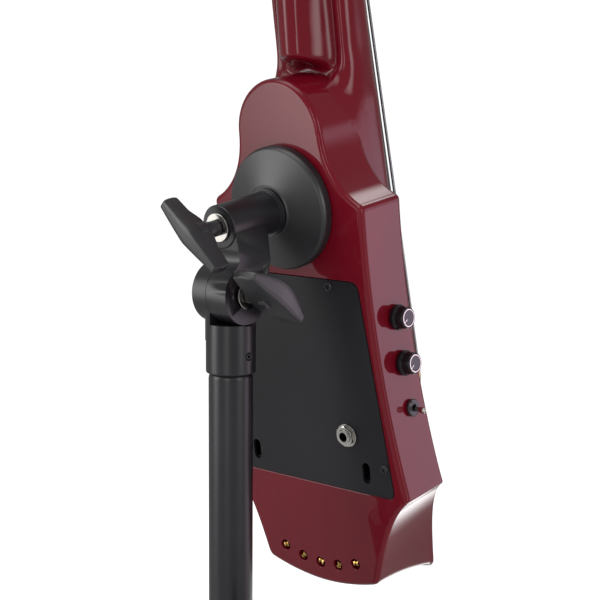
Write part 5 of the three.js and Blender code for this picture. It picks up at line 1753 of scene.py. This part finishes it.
def build_crown():
    """Moulded crown: a ring with a rounded foot and a pair of lugs for each leg."""
    crown = turned("leg_crown", [
        (0, 132), (22.2, 132), (23, 132.8), (26, 144), (26, 176.5), (25.4, 177.6), (24.4, 178), (0, 178),
    ], 96)
    lug = rounded_corners([(20.5, 138), (38, 148), (48, 158), (38, 168), (20.5, 168)], 3, 6)
    for index in range(3):
        for side in (8.3, -14.3):
            ear = plated("lug", lug, side, side + 6)
            bevelled(ear, 1.0, 3, 40)
            moved(ear, leg_turn(index) @ Matrix.Rotation(QUARTER, 4, "X"))
            combined(crown, ear, "UNION")
    combined(crown, rod("bore", 17.8, 110, 190, 96))
    for index in range(3):
        pivot = Matrix.Translation((LEG_PIVOT, 0, LEG_HEIGHT)) @ FACING_FRONT
        pin = moved(rod("pin", 3.3, -20, 20, 32), pivot)
        combined(crown, moved(pin, leg_turn(index)))
    smoothed(crown, 35)
    return dress(crown, STAND, "base", finish_of("black_plastic"), "black_plastic", "leg_crown")


def build_legs():
    """Round tube legs, each with a rounded head, its pin and a rubber foot."""
    for index in range(3):
        name = f"leg_{index + 1}"
        leg = turned(name, [
            (0, -8), (3.5, -7.7), (6, -6.6), (7.6, -4.5), (8, -2), (8, LEG_LENGTH - 0.4), (7.6, LEG_LENGTH),
            (6.8, LEG_LENGTH), (6.4, LEG_LENGTH - 0.4), (6.4, 16), (0, 16),
        ], 64)
        pin = rod("pin", 3, -14.3, 14.3, 40, 0.5)
        combined(leg, moved(pin, FACING_FRONT), "UNION")
        smoothed(leg, 35)
        dress(leg, STAND @ leg_frame(index), name, finish_of("black_metal"), "black_metal", name)
        foot = build_foot(index)
        dress(foot, STAND, name, finish_of("rubber"), "rubber", f"foot_{index + 1}")


def build_foot(index):
    """Grooved pad on the floor with a cup that takes the leg's end."""
    pad = turned("foot", [
        (0, 0), (12.2, 0), (13, 0.8), (13, 3), (12.3, 3.5), (12.3, 4.5), (13, 5), (13, 12.5), (12.4, 14.6),
        (10.5, 16), (0, 16),
    ], 64)
    moved(pad, leg_turn(index) @ Matrix.Translation((LEG_SPREAD, 0, 0)))
    cup = rod("cup", 11, LEG_LENGTH - 12, LEG_LENGTH + 4, 64, 1.2)
    combined(pad, moved(cup, leg_frame(index)), "UNION")
    combined(pad, moved(rod("seat", 8.3, LEG_LENGTH - 24, LEG_LENGTH + 0.3, 64), leg_frame(index)))
    below = brick("below", (-400, -400, -40), (400, 400, 0))
    combined(pad, below)
    smoothed(pad, 35)
    pad.name = f"foot_{index + 1}"
    return pad


# Settings that a user would change

def length_setting(name, description, default, low, high):
    return bpy.props.FloatProperty(
        name=name, description=description, default=default, min=low, max=high,
        subtype="DISTANCE", unit="LENGTH", precision=4)


def colour_setting(name, description, default):
    return bpy.props.FloatVectorProperty(
        name=name, description=description, default=default, size=3, min=0, max=1, subtype="COLOR")


class CelloSizes(bpy.types.PropertyGroup):
    """Small sizes of the finished pieces."""
    edge_round: length_setting("Body edge", "Rounding of the body's edges", 0.0035, 0.001, 0.006)
    cover_lip: length_setting("Cover lip", "Rounding of the lacquer round the cover", 0.0008, 0.0003, 0.002)
    string_hole: length_setting(
        "Ball seat", "Radius of the holes that take the ball ends", 0.0038, 0.003, 0.0042)
    knob_ribs: bpy.props.IntProperty(
        name="Knob ribs", description="Grooves round each control knob", default=36, min=12, max=72)


class CelloColours(bpy.types.PropertyGroup):
    """Base colours of the finishes."""
    lacquer: colour_setting("Lacquer", "Deep red lacquer of the body", (0.08, 0.0006, 0.005))
    ebony: colour_setting("Ebony", "Fingerboard and nut", (0.012, 0.009, 0.007))
    maple: colour_setting("Maple", "Bridge", (0.5, 0.3, 0.13))
    black_metal: colour_setting("Black metal", "Clamp, socket, tubes and tuners", (0.007, 0.006, 0.008))
    black_plastic: colour_setting("Black plastic", "Disc, knobs, collar and crown", (0.007, 0.006, 0.008))
    cover: colour_setting("Cover", "Cover plate", (0.007, 0.006, 0.008))
    nickel: colour_setting("Nickel", "Jack, washers and lever", (0.62, 0.6, 0.56))
    silver: colour_setting("Silver", "Knob caps", (0.066, 0.066, 0.07))
    steel: colour_setting("Steel", "Strings, bolts and shafts", (0.42, 0.42, 0.44))
    brass: colour_setting("Brass", "Ball ends", (0.7, 0.46, 0.16))
    rubber: colour_setting("Rubber", "Feet", (0.018, 0.018, 0.019))
    circuit: colour_setting("Circuit board", "Board under the cover", (0.012, 0.07, 0.024))


class CelloStage(bpy.types.PropertyGroup):
    """Floor, light and camera."""
    floor: colour_setting("Floor", "Pale floor", (0.94, 0.94, 0.94))
    room: bpy.props.FloatProperty(
        name="Room light", description="Strength of the even light all round", default=1.12, min=0, max=5)
    dimming: bpy.props.FloatProperty(
        name="Room in reflections", description="Share of the room light that shows in glossy reflections",
        default=0.25, min=0, max=1)
    floor_dimming: bpy.props.FloatProperty(
        name="Floor in reflections", description="Share of the floor's brightness in glossy reflections",
        default=0.28, min=0, max=1)
    panel: bpy.props.FloatProperty(
        name="Panel light", description="Strength of the large soft panels", default=1.0, min=0, max=10)
    lens: bpy.props.FloatProperty(
        name="Lens", description="Focal length of the camera", default=83.94, min=20, max=300,
        subtype="DISTANCE_CAMERA", unit="CAMERA")


# Stage

CAMERA_RIGHT = Vector((-0.7513, -0.6599, 0.0072))
CAMERA_UP = Vector((0.0981, -0.1009, 0.9901))
CAMERA_FORWARD = Vector((0.6526, -0.7446, -0.1405))
CAMERA_FROM_MOUNT = Vector((-613.2, 683.3, 68.4))


def build_floor(stage):
    bpy.ops.object.select_all(action="DESELECT")
    bpy.ops.mesh.primitive_circle_add(vertices=96, radius=14, fill_type="TRIFAN", location=(0, 0, 0))
    floor = named("floor")
    finish, shader = blank_finish("pale_floor", stage.floor, 0.9)
    shader.inputs["Specular IOR Level"].default_value = 0.1
    cloud = noise(finish, 0.6, 2)
    lighter = tuple(min(c * 1.02, 1) for c in stage.floor)
    pale = ramp(finish, output_of(cloud), [(0.35, tuple(stage.floor)), (0.65, lighter)])
    dim = node(finish, "ShaderNodeMix", data_type="RGBA")
    dim.inputs[7].default_value = (*[c * stage.floor_dimming for c in stage.floor], 1)
    path = node(finish, "ShaderNodeLightPath")
    wire(finish, path.outputs["Is Glossy Ray"], dim.inputs["Factor"])
    wire(finish, pale.outputs["Color"], dim.inputs[6])
    wire(finish, dim.outputs[2], shader.inputs["Base Color"])
    floor.data.materials.append(finish)


def build_panel(name, place, aim, size, power):
    """A soft light at a place, facing a point, that fades out to its edges; the camera doesn't see it."""
    bpy.ops.object.light_add(type="AREA", location=place)
    lamp = bpy.context.view_layer.objects.active
    lamp.name = name
    lamp.data.shape = "RECTANGLE"
    lamp.data.size, lamp.data.size_y = size
    lamp.data.energy = power
    lamp.data.use_nodes = True
    nodes, links = lamp.data.node_tree.nodes, lamp.data.node_tree.links
    spot, offset, reach, fade = (nodes.new(kind) for kind in (
        "ShaderNodeNewGeometry", "ShaderNodeVectorMath", "ShaderNodeVectorMath", "ShaderNodeMapRange"))
    offset.operation = "SUBTRACT"
    offset.inputs[1].default_value = (0.5, 0.5, 0)
    reach.operation = "LENGTH"
    fade.interpolation_type = "SMOOTHSTEP"
    for socket, value in (("From Min", 0.1), ("From Max", 0.5), ("To Min", 1.0), ("To Max", 0.0)):
        fade.inputs[socket].default_value = value
    links.new(spot.outputs["Parametric"], offset.inputs[0])
    links.new(offset.outputs["Vector"], reach.inputs[0])
    links.new(reach.outputs["Value"], fade.inputs["Value"])
    links.new(fade.outputs["Result"], nodes["Emission"].inputs["Strength"])
    lamp.visible_camera = False
    lamp.rotation_mode = "QUATERNION"
    lamp.rotation_quaternion = (Vector(aim) - Vector(place)).to_track_quat("-Z", "Y")
    return lamp


WHITE = (1.0, 1.0, 1.0)

# Name, place, point it faces, size, power in watts and colour of each light
LAMPS = (
    ("panel_above", (0.3, 0.5, 2.6), (0, 0, 0.6), (2.8, 2.8), 70, WHITE),
    ("panel_back", (0.74, 0.88, 0.47), (-0.04, -0.04, 0.68), (0.8, 1.0), 10, WHITE),
    ("panel_side", (-0.80, -1.07, 0.36), (-0.06, -0.09, 0.55), (1.1, 1.2), 9.5, (1.0, 0.8, 1.0)),
    ("panel_left", (0.95, 1.1, 1.0), (0, 0, 0.6), (1.5, 1.3), 22, WHITE),
    ("strip_front", (-0.75, 1.53, 0.75), (0, -0.1, 0.7), (0.65, 1.8), 16, WHITE),
    ("strip_side", (-1.6, -0.12, 0.8), (0, -0.12, 0.7), (0.65, 1.8), 16, WHITE),
    ("panel_top", (0.05, -0.95, 1.6), (-0.06, -0.15, 0.62), (0.5, 0.4), 3, WHITE),
    ("panel_low", (0.02, -0.6, 0.08), (0.0, -0.12, 0.4), (0.38, 0.24), 1.0, WHITE),
)


def build_lights(stage):
    for name, place, aim, size, power, colour in LAMPS:
        lamp = build_panel(name, place, aim, size, power * stage.panel)
        lamp.data.color = colour


def build_world(stage):
    world = bpy.data.worlds.new("studio")
    bpy.context.scene.world = world
    world.use_nodes = True
    nodes, links = world.node_tree.nodes, world.node_tree.links
    nodes.clear()
    room, mirrored_room = nodes.new("ShaderNodeBackground"), nodes.new("ShaderNodeBackground")
    room.inputs["Color"].default_value = (1, 1, 1, 1)
    room.inputs["Strength"].default_value = stage.room
    mirrored_room.inputs["Color"].default_value = (1, 1, 1, 1)
    mirrored_room.inputs["Strength"].default_value = stage.room * stage.dimming
    path, chosen, out = (nodes.new(kind) for kind in (
        "ShaderNodeLightPath", "ShaderNodeMixShader", "ShaderNodeOutputWorld"))
    links.new(path.outputs["Is Glossy Ray"], chosen.inputs["Fac"])
    links.new(room.outputs["Background"], chosen.inputs[1])
    links.new(mirrored_room.outputs["Background"], chosen.inputs[2])
    links.new(chosen.outputs["Shader"], out.inputs["Surface"])
    bpy.context.scene.view_settings.view_transform = "Standard"
    bpy.context.scene.view_settings.look = "None"


def build_camera(stage):
    place = (INSTRUMENT.translation + CAMERA_FROM_MOUNT) * MM
    turn_of = Matrix((CAMERA_RIGHT, CAMERA_UP, -CAMERA_FORWARD)).transposed()
    bpy.ops.object.camera_add(location=place)
    camera = bpy.context.view_layer.objects.active
    camera.name = "photo_camera"
    camera.rotation_mode = "QUATERNION"
    camera.rotation_quaternion = turn_of.to_quaternion()
    camera.data.lens = stage.lens
    camera.data.sensor_width = 36
    camera.data.clip_start, camera.data.clip_end = 0.01, 100
    camera.data.dof.use_dof = False
    bpy.context.scene.camera = camera


# One operator for each piece or group of like pieces

class AddBody(bpy.types.Operator):
    """Add the lacquered body with its neck and headstock"""
    bl_idname = "cello.add_body"
    bl_label = "Body"

    def execute(self, context):
        build_body(context.scene.cello_sizes)
        return {"FINISHED"}


class AddFingerboard(bpy.types.Operator):
    """Add the ebony fingerboard and the nut"""
    bl_idname = "cello.add_fingerboard"
    bl_label = "Fingerboard and nut"

    def execute(self, context):
        build_fingerboard()
        build_nut()
        return {"FINISHED"}


class AddBridge(bpy.types.Operator):
    """Add the maple bridge and the pickup bar under it"""
    bl_idname = "cello.add_bridge"
    bl_label = "Bridge and pickup"

    def execute(self, context):
        build_bridge()
        build_pickup()
        return {"FINISHED"}


class AddStrings(bpy.types.Operator):
    """Add the five strings and their brass ball ends"""
    bl_idname = "cello.add_strings"
    bl_label = "Strings"

    def execute(self, context):
        build_strings()
        build_ball_ends()
        return {"FINISHED"}


class AddTuners(bpy.types.Operator):
    """Add the tuning machines: plates, posts and buttons"""
    bl_idname = "cello.add_tuners"
    bl_label = "Tuning machines"

    def execute(self, context):
        build_tuner_plates()
        build_posts()
        build_buttons()
        return {"FINISHED"}


class AddCover(bpy.types.Operator):
    """Add the cover plate and its screws"""
    bl_idname = "cello.add_cover"
    bl_label = "Cover plate"

    def execute(self, context):
        build_cover()
        build_cover_screws()
        return {"FINISHED"}


class AddJack(bpy.types.Operator):
    """Add the empty jack socket and its nut"""
    bl_idname = "cello.add_jack"
    bl_label = "Jack"

    def execute(self, context):
        build_jack()
        return {"FINISHED"}


class FinishFittings(bpy.types.Operator):
    """Give the fittings inside the cavity their finishes"""
    bl_idname = "cello.finish_fittings"
    bl_label = "Fittings in the cavity"

    def execute(self, context):
        finish_frame_nodes("circuit", "circuit_board")
        finish_frame_nodes("steel", "volume_pot", "tone_pot")
        return {"FINISHED"}


class AddControls(bpy.types.Operator):
    """Add the two knobs with their caps, and the toggle switch"""
    bl_idname = "cello.add_controls"
    bl_label = "Controls"

    def execute(self, context):
        sizes = context.scene.cello_sizes
        build_knob("volume_knob", VOLUME_HEIGHT, sizes)
        build_knob("tone_knob", TONE_HEIGHT, sizes)
        build_cap("volume_knob_cap", VOLUME_HEIGHT)
        build_cap("tone_knob_cap", TONE_HEIGHT)
        build_switch()
        return {"FINISHED"}


class AddMount(bpy.types.Operator):
    """Add the disc, the clamp with its arm, the washers and the bolts"""
    bl_idname = "cello.add_mount"
    bl_label = "Mount"

    def execute(self, context):
        build_disc()
        build_clamp()
        build_washers()
        build_bolts()
        return {"FINISHED"}


class AddWingKnobs(bpy.types.Operator):
    """Add the wing knobs of the mount and of the hinge"""
    bl_idname = "cello.add_wing_knobs"
    bl_label = "Wing knobs"

    def execute(self, context):
        build_wing_knobs()
        return {"FINISHED"}


class AddSocket(bpy.types.Operator):
    """Add the tilting socket on the pole and its set screw"""
    bl_idname = "cello.add_socket"
    bl_label = "Socket"

    def execute(self, context):
        build_socket()
        return {"FINISHED"}


class AddTubes(bpy.types.Operator):
    """Add the sliding pole and the outer tube"""
    bl_idname = "cello.add_tubes"
    bl_label = "Tubes"

    def execute(self, context):
        build_tubes()
        return {"FINISHED"}


class AddCollar(bpy.types.Operator):
    """Add the height collar and its knob"""
    bl_idname = "cello.add_collar"
    bl_label = "Height collar"

    def execute(self, context):
        build_collar()
        return {"FINISHED"}


class AddLegs(bpy.types.Operator):
    """Add the leg crown, the legs and their feet"""
    bl_idname = "cello.add_legs"
    bl_label = "Legs"

    def execute(self, context):
        build_crown()
        build_legs()
        return {"FINISHED"}


class AddStage(bpy.types.Operator):
    """Add the floor, the lights and the camera"""
    bl_idname = "cello.add_stage"
    bl_label = "Stage"

    def execute(self, context):
        stage = context.scene.cello_stage
        build_floor(stage)
        build_lights(stage)
        build_world(stage)
        build_camera(stage)
        return {"FINISHED"}


OPERATORS = (
    AddBody, AddFingerboard, AddBridge, AddStrings, AddTuners, AddCover, AddJack, FinishFittings,
    AddControls, AddMount, AddWingKnobs, AddSocket, AddTubes, AddCollar, AddLegs, AddStage,
)


class CelloPanel(bpy.types.Panel):
    """Lists the pieces in the order in which they are built"""
    bl_idname = "VIEW3D_PT_cello"
    bl_label = "Electric cello"
    bl_space_type = "VIEW_3D"
    bl_region_type = "UI"
    bl_category = "Cello"

    def draw(self, context):
        layout = self.layout
        for operator in OPERATORS:
            layout.operator(operator.bl_idname)
        for settings in (context.scene.cello_sizes, context.scene.cello_colours, context.scene.cello_stage):
            box = layout.box()
            for key in settings.bl_rna.properties.keys():
                if key not in ("rna_type", "name"):
                    box.prop(settings, key)


CLASSES = (CelloSizes, CelloColours, CelloStage, *OPERATORS, CelloPanel)


def register():
    for kind in CLASSES:
        bpy.utils.register_class(kind)
    bpy.types.Scene.cello_sizes = bpy.props.PointerProperty(type=CelloSizes)
    bpy.types.Scene.cello_colours = bpy.props.PointerProperty(type=CelloColours)
    bpy.types.Scene.cello_stage = bpy.props.PointerProperty(type=CelloStage)


def unregister():
    del bpy.types.Scene.cello_stage
    del bpy.types.Scene.cello_colours
    del bpy.types.Scene.cello_sizes
    for kind in reversed(CLASSES):
        bpy.utils.unregister_class(kind)


def main():
    register()
    for operator in OPERATORS:
        group, name = operator.bl_idname.split(".")
        getattr(getattr(bpy.ops, group), name)()


if __name__ == "__main__":
    main()
